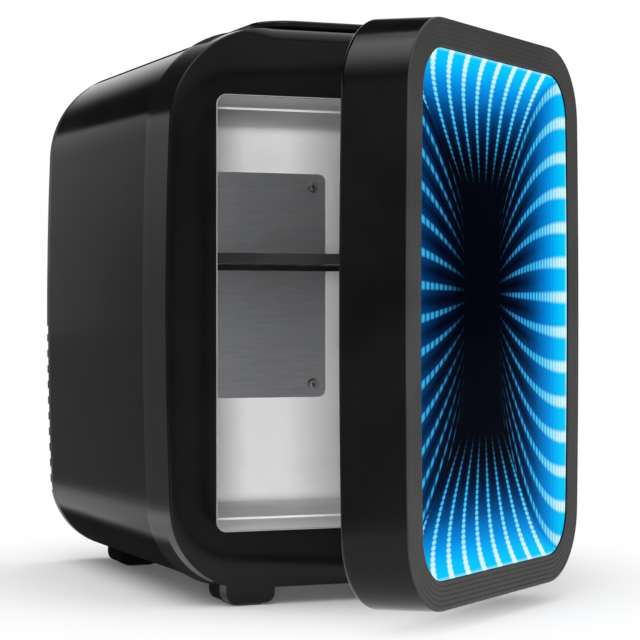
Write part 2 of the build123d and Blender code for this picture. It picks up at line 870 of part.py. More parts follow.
with BuildPart() as ac_inlet_pins:
    with BuildSketch(front_plane(panel_rear - ac_socket_depth + ac_pin_length)):
        with Locations((ac_inlet_x, inlet_height)):
            with GridLocations(ac_pin_pitch, 0, 2, 1):
                Circle(ac_pin_radius)
    extrude(amount=ac_pin_length)
    fillet(ac_inlet_pins.faces().group_by(Axis.Y)[-1].edges(), ac_pin_radius / 2)
save(ac_inlet_pins, "ac_inlet_pins")

# Low-voltage inlet: round jack with a centre pin
with BuildPart() as dc_inlet:
    with BuildSketch(front_plane(panel_rear)):
        with Locations((dc_inlet_x, inlet_height)):
            Circle(dc_inlet_radius + panel_lip_width)
    extrude(amount=panel_lip)
    with BuildSketch(front_plane(cabinet_depth)):
        with Locations((dc_inlet_x, inlet_height)):
            Circle(dc_inlet_radius)
    extrude(amount=dc_inlet_depth)
    with BuildSketch(front_plane(panel_rear)):
        with Locations((dc_inlet_x, inlet_height)):
            Circle(dc_hole_radius)
    extrude(amount=dc_hole_depth, mode=Mode.SUBTRACT)
save(dc_inlet, "dc_inlet")

with BuildPart() as dc_inlet_pin:
    with BuildSketch(front_plane(panel_rear - dc_hole_depth + dc_pin_length)):
        with Locations((dc_inlet_x, inlet_height)):
            Circle(dc_pin_radius)
    extrude(amount=dc_pin_length)
    fillet(dc_inlet_pin.faces().group_by(Axis.Y)[-1].edges(), dc_pin_radius / 2)
save(dc_inlet_pin, "dc_inlet_pin")

# Mode switch: housing set through the rear cover, and a rocker on two stub pins
with BuildPart() as switch_housing:
    with BuildSketch(front_plane(panel_rear)):
        with Locations((switch_x, inlet_height)):
            RectangleRounded(
                switch_width + 2 * panel_lip_width,
                switch_height + 2 * panel_lip_width,
                panel_lip_radius,
            )
    extrude(amount=panel_lip)
    with BuildSketch(front_plane(cabinet_depth)):
        with Locations((switch_x, inlet_height)):
            Rectangle(switch_width, switch_height)
    extrude(amount=switch_depth)
    pocket_depth = panel_rear - rocker_axis_y + rocker_radius + rocker_gap
    with BuildSketch(front_plane(panel_rear)):
        with Locations((switch_x, inlet_height)):
            Rectangle(rocker_width + 2 * rocker_gap, 2 * (rocker_radius + rocker_gap))
    extrude(amount=pocket_depth, mode=Mode.SUBTRACT)
    pin_span = rocker_width + 2 * rocker_gap + 2 * rocker_pin_reach
    with BuildSketch(Plane.YZ.offset(switch_x - pin_span / 2)):
        with Locations((rocker_axis_y, inlet_height)):
            Circle(rocker_pin_radius + rocker_pin_gap)
    extrude(amount=pin_span, mode=Mode.SUBTRACT)
save(switch_housing, "switch_housing")

with BuildPart() as switch_rocker:
    with BuildSketch(Plane.YZ.offset(switch_x - rocker_width / 2)) as rocker_profile:
        with Locations((rocker_axis_y, inlet_height)):
            Circle(rocker_radius)
        with Locations((rocker_axis_y + rocker_flat + rocker_radius, inlet_height)):
            Rectangle(2 * rocker_radius, 2 * rocker_radius, mode=Mode.SUBTRACT)
        with BuildLine():
            Polyline(
                (rocker_axis_y + rocker_flat, inlet_height - rocker_radius),
                (rocker_axis_y + rocker_flat - rocker_notch, inlet_height),
                (rocker_axis_y + rocker_flat, inlet_height + rocker_radius),
                close=True,
            )
        make_face(mode=Mode.SUBTRACT)
    extrude(amount=rocker_width)
    with BuildSketch(Plane.YZ.offset(switch_x - pin_span / 2 + rocker_pin_gap)):
        with Locations((rocker_axis_y, inlet_height)):
            Circle(rocker_pin_radius)
    extrude(amount=pin_span - 2 * rocker_pin_gap)
save(switch_rocker, "switch_rocker")

# Rubber pads under the four feet
with BuildPart() as foot_pads:
    front_foot_middle = foot_setback + foot_length / 2
    rear_foot_middle = rear_foot_rear - foot_length / 2
    with BuildSketch(Plane.XY):
        with Locations((0, (front_foot_middle + rear_foot_middle) / 2)):
            with GridLocations(
                2 * foot_inner + foot_width, rear_foot_middle - front_foot_middle, 2, 2
            ):
                RectangleRounded(
                    foot_width - 2 * foot_corner_radius,
                    foot_length - 2 * pad_inset,
                    pad_corner_radius,
                )
    extrude(amount=pad_height)
save(foot_pads, "foot_pads")

# Carrying handle: flat bail that lies on the top and swings up on two pins
with BuildPart() as carry_handle:
    handle_inner_half = handle_half_span - handle_arm_width
    with BuildSketch(Plane.XY.offset(handle_bottom)):
        with Locations((0, (handle_setback + handle_pivot_y) / 2)):
            handle_plate = Rectangle(2 * handle_half_span, handle_reach)
        fillet(handle_plate.vertices().group_by(Axis.Y)[0], handle_corner_radius)
    extrude(amount=handle_thickness)
    handle_gap_front = handle_setback + handle_bar_width
    with BuildSketch(Plane.XY.offset(handle_bottom)):
        gap_length = handle_pivot_y - handle_gap_front
        with Locations((0, handle_gap_front + gap_length / 2)):
            handle_gap = Rectangle(2 * handle_inner_half, gap_length)
        fillet(handle_gap.vertices().group_by(Axis.Y)[0], handle_inner_radius)
    extrude(amount=handle_thickness, mode=Mode.SUBTRACT)
    handle_rims = carry_handle.faces().filter_by(Axis.Z).edges()
    rear_edges = carry_handle.edges().group_by(Axis.Y)[-1]
    fillet([edge for edge in handle_rims if edge not in rear_edges], handle_edge_radius)
    for side in sides:
        with BuildSketch(Plane.YZ.offset(side * handle_arm_x - handle_arm_width / 2)):
            with Locations((handle_pivot_y, handle_pin_z)):
                Circle(handle_thickness / 2)
        extrude(amount=handle_arm_width)
        with BuildSketch(Plane.YZ.offset(side * handle_arm_x - handle_arm_width / 2)):
            with Locations((handle_pivot_y, handle_pin_z)):
                Circle(handle_pin_radius + handle_pin_gap)
        extrude(amount=handle_arm_width, mode=Mode.SUBTRACT)
save(carry_handle, "carry_handle")

with BuildPart() as handle_pins:
    handle_pin_length = handle_arm_width + ear_gap + ear_thickness
    for side in sides:
        with BuildSketch(Plane.YZ.offset(side * handle_half_span)):
            with Locations((handle_pivot_y, handle_pin_z)):
                Circle(handle_pin_radius)
        extrude(amount=-side * handle_pin_length)
save(handle_pins, "handle_pins")

# Hinges: two brackets on the front face, each with a knuckle that carries a fixed pin
for hinge_name, hinge_z in zip(("lower", "upper"), hinge_heights):
    with BuildPart() as hinge_bracket:
        with BuildSketch(Plane.XY.offset(hinge_z - hinge_half_height)):
            plate_length = hinge_plate_right - hinge_plate_left
            with Locations((hinge_plate_left + plate_length / 2, -hinge_plate / 2)):
                Rectangle(plate_length, hinge_plate)
            with Locations((hinge_x, hinge_y)):
                Circle(knuckle_radius)
            web_length = knuckle_radius + hinge_plate_tail
            with Locations((hinge_x - knuckle_radius + web_length / 2, hinge_y / 2)):
                Rectangle(web_length, hinge_setback)
            with Locations((hinge_x, hinge_y)):
                Circle(hinge_pin_radius + snug_gap, mode=Mode.SUBTRACT)
        extrude(amount=2 * hinge_half_height)
        with Locations(front_plane(-hinge_plate)):
            with Locations((hinge_screw_x, hinge_z)):
                with GridLocations(0, hinge_screw_pitch, 1, 2):
                    CounterSinkHole(
                        hinge_screw_radius + snug_gap,
                        hinge_screw_head_radius + snug_gap,
                        hinge_plate,
                        screw_cone_angle,
                    )
    save(hinge_bracket, f"hinge_bracket_{hinge_name}")

with BuildPart() as hinge_pins:
    hinge_pin_length = 2 * (hinge_notch + hinge_pin_grip)
    for hinge_z in hinge_heights:
        with BuildSketch(Plane.XY.offset(hinge_z - hinge_pin_length / 2)):
            with Locations((hinge_x, hinge_y)):
                Circle(hinge_pin_radius)
        extrude(amount=hinge_pin_length)
save(hinge_pins, "hinge_pins")

with BuildPart() as hinge_screws:
    cone_height = hinge_screw_head_radius - hinge_screw_radius
    for hinge_z in hinge_heights:
        for screw_side in sides:
            screw_z = hinge_z + screw_side * hinge_screw_pitch / 2
            with BuildSketch(front_plane(hinge_screw_length - hinge_plate)):
                with Locations((hinge_screw_x, screw_z)):
                    Circle(hinge_screw_radius)
            extrude(amount=hinge_screw_length - cone_height)
            with BuildSketch(front_plane(cone_height - hinge_plate)):
                with Locations((hinge_screw_x, screw_z)):
                    Circle(hinge_screw_radius)
            with BuildSketch(front_plane(-hinge_plate)):
                with Locations((hinge_screw_x, screw_z)):
                    Circle(hinge_screw_head_radius)
            loft()
save(hinge_screws, "hinge_screws")

# Strike plates behind the front face, opposite the door's magnets
with BuildPart() as strike_plates:
    with BuildSketch(front_plane(face_wall + strike_thickness)):
        with Locations((magnet_x, door_middle)):
            with GridLocations(0, magnet_pitch, 1, 2):
                Rectangle(magnet_width + 2 * strike_margin, magnet_height + 2 * strike_margin)
    extrude(amount=strike_thickness)
save(strike_plates, "strike_plates")

# Door frame: deep bezel with ridged border, window, screw blocks and hinge bosses
with BuildPart() as hinge_notches:
    for hinge_z in hinge_heights:
        notch_right = hinge_x + hinge_inset + hinge_setback
        notch_length = notch_right - hinge_notch_left
        notch_depth = plug_face_y - boss_front_y
        with BuildSketch(door_level(hinge_z - hinge_notch)):
            with Locations(
                (hinge_notch_left + notch_length / 2, boss_front_y + notch_depth / 2)
            ):
                Rectangle(notch_length, notch_depth)
        extrude(amount=2 * hinge_notch)

with BuildPart() as door_frame:
    with BuildSketch(door_plane(door_back_y)):
        add(door_outline(-door_draft))
    with BuildSketch(door_plane(door_front_y)):
        add(door_outline(0))
    loft()
    door_ends = door_frame.faces().sort_by(Axis(door_point(0, 0, 0), door_normal))
    fillet(door_ends[-1].edges(), door_front_radius)
    fillet(door_ends[0].edges(), door_back_radius)
    with BuildSketch(door_plane(door_back_y)):
        add(door_outline(door_wall))
    extrude(amount=door_thickness - door_front_wall, mode=Mode.SUBTRACT)
    with BuildSketch(door_plane(door_front_y + door_front_wall)):
        add(door_outline(glass_inset))
    extrude(amount=door_front_wall - glass_recess, mode=Mode.SUBTRACT)
    with BuildSketch(door_plane(glass_front_y)):
        add(door_outline(border_width))
    extrude(amount=glass_recess, mode=Mode.SUBTRACT)
    with BuildSketch(door_plane(door_front_y + groove_depth)):
        for groove in range(groove_count):
            groove_inset = groove_margin + groove * groove_pitch
            add(door_outline(groove_inset))
            add(door_outline(groove_inset + groove_width), mode=Mode.SUBTRACT)
    extrude(amount=groove_depth, mode=Mode.SUBTRACT)
    for hinge_z in hinge_heights:
        for boss_side in sides:
            boss_z = hinge_z + boss_side * boss_middle
            with BuildSketch(door_plane(liner_inner_y)):
                with Locations(((boss_left + boss_right) / 2, boss_z)):
                    Rectangle(boss_right - boss_left, hinge_boss_height)
            extrude(amount=hinge_boss_depth)
    for block_z in door_screw_heights:
        with BuildSketch(door_plane(liner_inner_y)):
            with Locations((-(boss_left + boss_right) / 2, block_z)):
                Rectangle(boss_right - boss_left, hinge_boss_height)
        extrude(amount=hinge_boss_depth)
    with BuildSketch(door_plane(liner_inner_y)):
        with Locations(*door_screw_places):
            Circle(screw_radius + snug_gap)
    extrude(amount=screw_length, mode=Mode.SUBTRACT)
    add(hinge_notches.part, mode=Mode.SUBTRACT)
    for hinge_z in hinge_heights:
        with BuildSketch(door_level(hinge_z - hinge_pin_length / 2 - fit_gap)):
            with Locations((hinge_x, hinge_y)):
                Circle(hinge_pin_radius + hinge_pin_gap)
        extrude(amount=hinge_pin_length + 2 * fit_gap, mode=Mode.SUBTRACT)
save(door_frame, "door_frame")

# Mirror stack in the door: two-way pane, spacer ring with the lights, and back mirror
with BuildPart() as two_way_mirror:
    with BuildSketch(door_plane(glass_back_y)):
        add(door_outline(glass_inset + fit_gap))
    extrude(amount=glass_thickness)
save(two_way_mirror, "two_way_mirror")

with BuildPart() as mirror_spacer:
    with BuildSketch(door_plane(mirror_front_y)):
        add(door_outline(glass_inset))
        add(door_outline(glass_inset + spacer_wall), mode=Mode.SUBTRACT)
    extrude(amount=tunnel_depth)
save(mirror_spacer, "mirror_spacer")

with BuildPart() as back_mirror:
    with BuildSketch(door_plane(mirror_back_y)):
        add(door_outline(glass_inset))
    extrude(amount=mirror_thickness)
save(back_mirror, "back_mirror")

with BuildPart() as led_strip:
    with BuildSketch(door_plane(tunnel_middle_y + strip_width / 2)):
        add(door_outline(strip_inset))
        add(door_outline(strip_inset + strip_thickness), mode=Mode.SUBTRACT)
    extrude(amount=strip_width)
save(led_strip, "led_strip")

with BuildPart() as led_chips:
    with BuildSketch(door_plane(tunnel_middle_y + led_size / 2)):
        long_start = door_middle - led_long_pitch * (led_long_count - 1) / 2
        for row in range(led_long_count):
            led_z = long_start + row * led_long_pitch
            led_x = door_side_x(led_inset, led_z) - led_height / 2
            with Locations((-led_x, led_z), (led_x, led_z)):
                Rectangle(led_height, led_size)
        led_end = (door_top - door_bottom) / 2 - led_inset - led_height / 2
        with Locations((0, door_middle)):
            with GridLocations(led_short_pitch, 2 * led_end, led_short_count, 2):
                Rectangle(led_size, led_height)
    extrude(amount=led_size)
save(led_chips, "led_chips")

# Door insulation between the back mirror and the door's inner liner
with BuildPart() as door_insulation:
    with BuildSketch(door_plane(liner_inner_y)):
        add(door_outline(door_foam_inset))
    extrude(amount=liner_inner_y - mirror_back_y)
save(door_insulation, "door_insulation")

# Door liner: back panel with a hollow plug that reaches into the food compartment
with BuildPart() as door_liner:
    with BuildSketch(door_plane(door_back_y)):
        add(door_outline(door_wall + fit_gap))
    extrude(amount=liner_plate)
    with BuildSketch(door_plane(door_back_y)):
        add(opening_outline(-plug_inset, opening_radius))
    with BuildSketch(door_plane(plug_face_y)):
        add(opening_outline(-plug_inset - plug_draft, opening_radius))
    loft()
    plug_hollow_inset = plug_inset + plug_draft + liner_plate
    with BuildSketch(door_plane(plug_face_y - liner_plate)):
        add(opening_outline(-plug_hollow_inset, opening_radius))
    extrude(amount=plug_height, mode=Mode.SUBTRACT)
    with BuildSketch(door_plane(door_back_y)):
        with Locations(*door_screw_places):
            Circle(screw_radius + fit_gap)
    extrude(amount=liner_plate, mode=Mode.SUBTRACT)
    add(hinge_notches.part, mode=Mode.SUBTRACT)
save(door_liner, "door_liner")

with BuildPart() as door_gasket:
    gasket_outer = gasket_inset + gasket_width
    with BuildSketch(door_plane(door_back_y + gasket_height)):
        add(opening_outline(gasket_outer, opening_radius + gasket_outer))
        add(opening_outline(gasket_inset, opening_radius + gasket_inset), mode=Mode.SUBTRACT)
    extrude(amount=gasket_height)
save(door_gasket, "door_gasket")

with BuildPart() as led_driver_board:
    with BuildSketch(door_plane(plug_face_y - liner_plate)):
        with Locations((0, door_middle)):
            Rectangle(driver_width, driver_height)
    extrude(amount=driver_thickness)
save(led_driver_board, "led_driver_board")

with BuildPart() as door_magnets:
    with BuildSketch(door_plane(liner_inner_y)):
        with Locations(*[(magnet_x, z) for z in magnet_heights]):
            Rectangle(magnet_width, magnet_height)
    extrude(amount=magnet_depth)
save(door_magnets, "door_magnets")

with BuildPart() as door_screws:
    with BuildSketch(door_plane(door_back_y)):
        with Locations(*door_screw_places):
            Circle(screw_radius)
    extrude(amount=screw_length)
    with BuildSketch(door_plane(door_back_y + gasket_height / 2)):
        with Locations(*door_screw_places):
            Circle(screw_head_radius)
    extrude(amount=gasket_height / 2)
save(door_screws, "door_screws")
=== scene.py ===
import json
from math import atan2, cos, hypot, pi, radians, sin, sqrt

import bmesh
import bpy
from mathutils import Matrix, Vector

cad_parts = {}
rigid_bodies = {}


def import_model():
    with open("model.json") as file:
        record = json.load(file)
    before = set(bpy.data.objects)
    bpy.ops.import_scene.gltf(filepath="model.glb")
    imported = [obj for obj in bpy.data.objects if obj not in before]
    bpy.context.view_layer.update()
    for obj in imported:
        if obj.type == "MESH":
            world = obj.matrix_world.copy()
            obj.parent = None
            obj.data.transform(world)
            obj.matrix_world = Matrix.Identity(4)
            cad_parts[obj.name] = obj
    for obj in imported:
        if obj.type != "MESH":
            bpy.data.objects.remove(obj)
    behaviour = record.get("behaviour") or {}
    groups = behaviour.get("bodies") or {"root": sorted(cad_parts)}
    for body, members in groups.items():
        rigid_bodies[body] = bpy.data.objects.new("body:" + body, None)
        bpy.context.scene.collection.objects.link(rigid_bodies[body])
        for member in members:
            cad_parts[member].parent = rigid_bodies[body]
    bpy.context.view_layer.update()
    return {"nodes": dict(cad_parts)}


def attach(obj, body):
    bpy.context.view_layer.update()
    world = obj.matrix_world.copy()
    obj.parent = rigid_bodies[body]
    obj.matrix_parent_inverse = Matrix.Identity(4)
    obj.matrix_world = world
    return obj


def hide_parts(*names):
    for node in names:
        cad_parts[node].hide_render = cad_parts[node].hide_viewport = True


for default_object in list(bpy.data.objects):
    bpy.data.objects.remove(default_object)
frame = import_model()

# Front frame. The collar and face round the food compartment are one glossy black ABS moulding with
# a flare towards the seam, a soft brow and two feet. The mould leaves a fine texture on the top and
# underside; the opening is trimmed after moulding and its edge is broken by hand.
mm = 0.001


class Tone:
    """A shader socket that takes part in Python expressions on values."""

    def __init__(self, tree, socket=None):
        self.tree = tree
        self.socket = socket

    def node(self, kind, settings=None, inputs=None, output=0):
        """Add a node of any kind: its settings first, then the values or links of its sockets."""
        made = self.tree.nodes.new(kind)
        for name, value in (settings or {}).items():
            if name == "stops":
                ramp = made.color_ramp
                while len(ramp.elements) < len(value):
                    ramp.elements.new(0.5)
                for element, (place, colour) in zip(ramp.elements, value):
                    element.position = place
                    element.color = (*colour, 1)
            else:
                setattr(made, name, value)
        for name, value in (inputs or {}).items():
            if isinstance(value, Tone):
                self.tree.links.new(value.socket, made.inputs[name])
            else:
                made.inputs[name].default_value = value
        return Tone(self.tree, made.outputs[output])

    def maths(self, operation, *values):
        return self.node("ShaderNodeMath", {"operation": operation}, dict(enumerate(values)))

    def __add__(self, other):
        return self.maths("ADD", self, other)

    __radd__ = __add__

    def __sub__(self, other):
        return self.maths("SUBTRACT", self, other)

    def __rsub__(self, other):
        return self.maths("SUBTRACT", other, self)

    def __mul__(self, other):
        return self.maths("MULTIPLY", self, other)

    __rmul__ = __mul__

    def __truediv__(self, other):
        return self.maths("DIVIDE", self, other)

    def __pow__(self, other):
        return self.maths("POWER", self, other)

    def __abs__(self):
        return self.maths("ABSOLUTE", self)

    def least(self, other):
        return self.maths("MINIMUM", self, other)

    def most(self, other):
        return self.maths("MAXIMUM", self, other)

    def part(self, index):
        """One output of the node behind this socket, by its place."""
        return Tone(self.tree, self.socket.node.outputs[index])

    def spread(self, low, high, out_low=0.0, out_high=1.0):
        """Smooth step from out_low at low to out_high at high."""
        return self.node(
            "ShaderNodeMapRange",
            {"interpolation_type": "SMOOTHSTEP"},
            {0: self, 1: low, 2: high, 3: out_low, 4: out_high},
        )

    def ramp(self, *stops):
        return self.node("ShaderNodeValToRGB", {"stops": stops}, {0: self})

    def blend(self, first, second):
        """Colour between first and second, with this value as the share of the second."""
        colours = {
            name: colour if isinstance(colour, Tone) else (*colour, 1)
            for name, colour in ((6, first), (7, second))
        }
        return self.node("ShaderNodeMix", {"data_type": "RGBA"}, {0: self, **colours}, 2)

    def place(self):
        """Object coordinates: where on the piece a point lies, in metres."""
        return self.node("ShaderNodeTexCoord", output=3)

    def split(self):
        """The x of this vector; part(1) and part(2) of it are y and z."""
        return self.node("ShaderNodeSeparateXYZ", inputs={0: self})

    def uv(self, name):
        return self.node("ShaderNodeUVMap", {"uv_map": name}).split()

    def grey(self):
        return self.node("ShaderNodeCombineColor", inputs={i: self for i in range(3)})

    def noise(self, scale, detail=2.0, stretch=(1, 1, 1)):
        """Noise on the piece's own metres, stretched along an axis for brushed stock."""
        place = self.node("ShaderNodeMapping", inputs={"Vector": self.place(), "Scale": stretch})
        return self.node(
            "ShaderNodeTexNoise", inputs={"Vector": place, "Scale": scale, "Detail": detail}
        )

    def bump(self, strength, depth):
        return self.node(
            "ShaderNodeBump", inputs={"Height": self, "Strength": strength, "Distance": depth}
        )


def new_finish(name, **constants):
    """Material with one principled shader whose constants are set on its own sockets."""
    material = bpy.data.materials.new(name)
    material.use_nodes = True
    shader = material.node_tree.nodes["Principled BSDF"]
    for socket, value in constants.items():
        shader.inputs[socket.replace("_", " ")].default_value = value
    return material, shader, Tone(material.node_tree)


def feed(shader, tone, socket):
    tone.tree.links.new(tone.socket, shader.inputs[socket])


cloud_scale, gloss_scale, speck_scale, grain_depth = 30, 16, 2600, 0.0002


def faint_cloud(tone):
    return tone.noise(cloud_scale, 3).spread(0.35, 0.65)


def uneven_gloss(tone, low=0.0, high=1.0):
    return tone.noise(gloss_scale, 2).spread(0.3, 0.7, low, high)


def moulded(name, dark, light, roughness, grain, relief, level=0.5):
    """Moulded plastic: faint clouds and specks, uneven gloss and the mould's grain."""
    material, shader, tone = new_finish(name, **{"Specular_IOR_Level": level})
    speck = tone.noise(speck_scale, 1).spread(0.7, 0.78)
    speck_colour = [0.75 * channel + 0.02 for channel in light]
    feed(shader, speck.blend(faint_cloud(tone).blend(dark, light), speck_colour), "Base Color")
    feed(shader, uneven_gloss(tone, *roughness), "Roughness")
    feed(shader, tone.noise(grain, 2).bump(relief, grain_depth), "Normal")
    return material


# In metres: where the polish gives way to texture near the top, near the base and behind the face.
polish_top, polish_base, polish_front = (0.2592, 0.2606), (0.026, 0.034), (0.0085, 0.011)
texture_dullness = 0.8


def unpolished(material, gloss):
    """Leave the mould's fine texture on a cabinet piece's top and underside, behind its face."""
    tone = Tone(material.node_tree)
    spot = tone.place().split()
    height = spot.part(2)
    dull = height.spread(*polish_top).most(height.spread(*polish_base, 1.0, 0.0))
    dull = dull * spot.part(1).spread(*polish_front)
    shader = material.node_tree.nodes["Principled BSDF"]
    feed(shader, uneven_gloss(tone, *gloss) + dull * texture_dullness, "Roughness")


black, deep_grey, polish = (0.002, 0.002, 0.0022), (0.0032, 0.0032, 0.0034), (0.1, 0.15)
black_gloss = moulded(
    "black_gloss", black, deep_grey, polish, grain=70, relief=0.01, level=0.22
)
frame_black = moulded(
    "frame_black", black, deep_grey, polish, grain=70, relief=0.01, level=0.22
)
unpolished(frame_black, polish)

ring_top, ring_corner, ring_side = 30, 18, 44


def corner_centre(half_width, half_height, radius, bulge):
    """Centre of an upper corner's arc, and the angle where the bowed side meets it."""
    bow = (half_height**2 + bulge**2) / (2 * bulge)
    bow_x = half_width - bow
    z = half_height - radius
    x = bow_x + sqrt((bow - radius) ** 2 - z**2)
    return x, z, atan2(z, x - bow_x)


def bowed_ring(half_width, bottom, top, base_radius, top_radius, bulge):
    """Points (x, z) clockwise round a rectangle with bowed sides, always equally many."""
    half_height = (top - bottom) / 2
    middle = (top + bottom) / 2
    bow = (half_height**2 + bulge**2) / (2 * bulge)
    top_x, top_z, top_turn = corner_centre(half_width, half_height, top_radius, bulge)
    base_x, base_z, base_turn = corner_centre(half_width, half_height, base_radius, bulge)
    right = [(top_x * i / ring_top, half_height) for i in range(ring_top)]
    for i in range(ring_corner):
        angle = pi / 2 + (top_turn - pi / 2) * i / ring_corner
        right.append((top_x + top_radius * cos(angle), top_z + top_radius * sin(angle)))
    for i in range(ring_side):
        angle = top_turn - (top_turn + base_turn) * i / ring_side
        right.append((half_width - bow + bow * cos(angle), bow * sin(angle)))
    for i in range(ring_corner):
        angle = -base_turn - (pi / 2 - base_turn) * i / ring_corner
        right.append((base_x + base_radius * cos(angle), base_radius * sin(angle) - base_z))
    right += [(base_x * (1 - i / ring_top), -half_height) for i in range(ring_top + 1)]
    left = [(-x, z) for x, z in reversed(right[1:-1])]
    return [(x, z + middle) for x, z in right + left]


def grown(points, distances):
    """Clockwise loop with each point moved outwards by its own distance."""
    moved = []
    for i, (x, z) in enumerate(points):
        ax, az = points[i - 1]
        bx, bz = points[(i + 1) % len(points)]
        length = hypot(bx - ax, bz - az)
        moved.append((x - (bz - az) / length * distances[i], z + (bx - ax) / length * distances[i]))
    return moved


def skin(shape, rings, loop=True):
    """Add quads through rings of (x, y, z) in mm, as a closed loop or with both ends capped."""
    verts, faces = shape
    start, count = len(verts), len(rings[0])
    verts.extend((x * mm, y * mm, z * mm) for ring in rings for x, y, z in ring)
    for i in range(len(rings) if loop else len(rings) - 1):
        j = (i + 1) % len(rings)
        for k in range(count):
            m = (k + 1) % count
            corners = (i * count + k, i * count + m, j * count + m, j * count + k)
            faces.append([start + n for n in corners])
    if not loop:
        faces.append([start + k for k in range(count)])
        faces.append([start + (len(rings) - 1) * count + k for k in range(count)])


def settle(made):
    """Replace an object's mesh by the one that its modifiers give."""
    graph = bpy.context.evaluated_depsgraph_get()
    made.data = bpy.data.meshes.new_from_object(made.evaluated_get(graph))
    made.modifiers.clear()


def solid(name, shape, material, sharp=32, cutter=None):
    """Object of a closed shape, cut where asked, with outward faces and crisp corners."""
    mesh = bpy.data.meshes.new(name)
    mesh.from_pydata(shape[0], [], shape[1])
    work = bmesh.new()
    work.from_mesh(mesh)
    bmesh.ops.recalc_face_normals(work, faces=work.faces)
    work.to_mesh(mesh)
    work.free()
    mesh.materials.append(material)
    made = bpy.data.objects.new(name, mesh)
    bpy.context.scene.collection.objects.link(made)
    if cutter:
        cut = made.modifiers.new("cut", "BOOLEAN")
        cut.operation = "DIFFERENCE"
        cut.object = cutter
        settle(made)
        bpy.data.objects.remove(cutter)
    made.data.polygons.foreach_set("use_smooth", [True] * len(made.data.polygons))
    made.data.set_sharp_from_angle(angle=radians(sharp))
    even = made.modifiers.new("even shading", "WEIGHTED_NORMAL")
    even.keep_sharp = True
    settle(made)
    return made


face_half, face_bottom, face_top, face_bulge = 91.0, 8.0, 266.3, 4.0
base_radius, top_radius = 38.0, 48.0
frame_depth, frame_flare, frame_wall, face_wall = 30.0, 2.0, 2.5, 3.0
edge_radius, brow_radius, brow_half, brow_runout = 1.0, 6.5, 34.0, 48.0
seam_bevel, seam_turn, rim_radius, face_margin = 0.5, 0.15, 0.7, 12
flare_stations = (0.75, 0.5, 0.28)
opening_half, opening_bottom, opening_top, opening_radius = 66.8, 34.2, 235.0, 5.0
flat_bulge = 0.002


def cabinet_ring(grow):
    return bowed_ring(
        face_half + grow, face_bottom - grow, face_top + grow,
        base_radius + grow, top_radius + grow, face_bulge,
    )


def opening_ring(grow):
    return bowed_ring(
        opening_half + grow, opening_bottom - grow, opening_top + grow,
        opening_radius + grow, opening_radius + grow, flat_bulge,
    )


def at_depth(points, depths):
    """Points (x, z) set at one depth or at a depth of their own."""
    if isinstance(depths, (int, float)):
        depths = [depths] * len(points)
    return [(x, y, z) for (x, z), y in zip(points, depths)]


def brow_room(x, z):
    """How far below the outline the brow, or else the plain front edge, runs at a point of it."""
    past = max(0.0, abs(x) - brow_half)
    return max(edge_radius, brow_radius + brow_runout - hypot(past, face_top + brow_runout - z))


def round_over(radius, left):
    """Depth that a rounded edge takes off where left of its radius remains."""
    return radius - sqrt(radius**2 - min(radius, left) ** 2) if left > 0 else 0.0


frame_shape = ([], [])
face_loop = cabinet_ring(0)
rooms = [brow_room(x, z) for x, z in face_loop]
frame_rings = [
    at_depth(cabinet_ring(frame_flare - seam_bevel), frame_depth),
    at_depth(cabinet_ring(frame_flare - seam_turn), frame_depth - seam_turn),
    at_depth(cabinet_ring(frame_flare), frame_depth - seam_bevel),
]
for share in flare_stations:
    frame_rings.append(at_depth(cabinet_ring(frame_flare * share), frame_depth * share))
edge_steps, rim_steps = 14, 4
for step in range(edge_steps + 1):
    turn = pi / 2 * step / edge_steps
    moves, depths = [], []
    for room in rooms:
        drop = room * (1 - cos(turn))
        brow_cut = round_over(brow_radius, room - drop)
        edge_cut = round_over(edge_radius, edge_radius - drop)
        start = max(round_over(brow_radius, room), edge_radius)
        moves.append(frame_flare * start / frame_depth * cos(turn) - drop)
        depths.append(max(brow_cut, edge_cut))
    frame_rings.append(at_depth(grown(face_loop, moves), depths))
frame_rings.append(at_depth(opening_ring(face_margin), 0.0))
for step in range(rim_steps + 1):
    turn = pi / 2 * step / rim_steps
    frame_rings.append(
        at_depth(opening_ring(rim_radius * (1 - sin(turn))), rim_radius * (1 - cos(turn)))
    )
inner_flare = frame_flare * face_wall / frame_depth
frame_rings += [
    at_depth(opening_ring(0), face_wall),
    at_depth(cabinet_ring(inner_flare - frame_wall), face_wall),
    at_depth(cabinet_ring(frame_flare - frame_wall), frame_depth),
]
skin(frame_shape, frame_rings)

foot_inner, foot_width, foot_base, foot_radius = 38.0, 24.0, 0.8, 5.0
foot_length, foot_root, foot_proud, foot_steps = 26.0, 2.2, 0.03, 8
foot_edge = ((0.9, 0), (0.3, 0.25), (0, 0.9))
base_corner_x = corner_centre(face_half, (face_top - face_bottom) / 2, base_radius, face_bulge)[0]


def underside(x):
    """Height of the cabinet's lower edge at x."""
    past = max(0.0, abs(x) - base_corner_x)
    return face_bottom + base_radius - sqrt(base_radius**2 - past**2)


def foot(shape, side, start):
    """Moulded foot with rounded lower corners, rooted in the wall and drawn back from start."""
    left = side * (foot_inner + foot_width / 2) - foot_width / 2
    loop = []
    for i in range(foot_steps + 1):
        x = left + foot_width * i / foot_steps
        loop.append((x, underside(x) + foot_root))
    for corner, turn in ((left + foot_width - foot_radius, 0), (left + foot_radius, -pi / 2)):
        for i in range(foot_steps + 1):
            angle = turn - pi / 2 * i / foot_steps
            height = foot_base + foot_radius * (1 + sin(angle))
            loop.append((corner + foot_radius * cos(angle), height))
    rings = []
    for inset, depth in foot_edge:
        rings.append(at_depth(grown(loop, [-inset] * len(loop)), start + depth))
    for inset, depth in reversed(foot_edge):
        rings.append(at_depth(grown(loop, [-inset] * len(loop)), start + foot_length - depth))
    skin(shape, rings, loop=False)


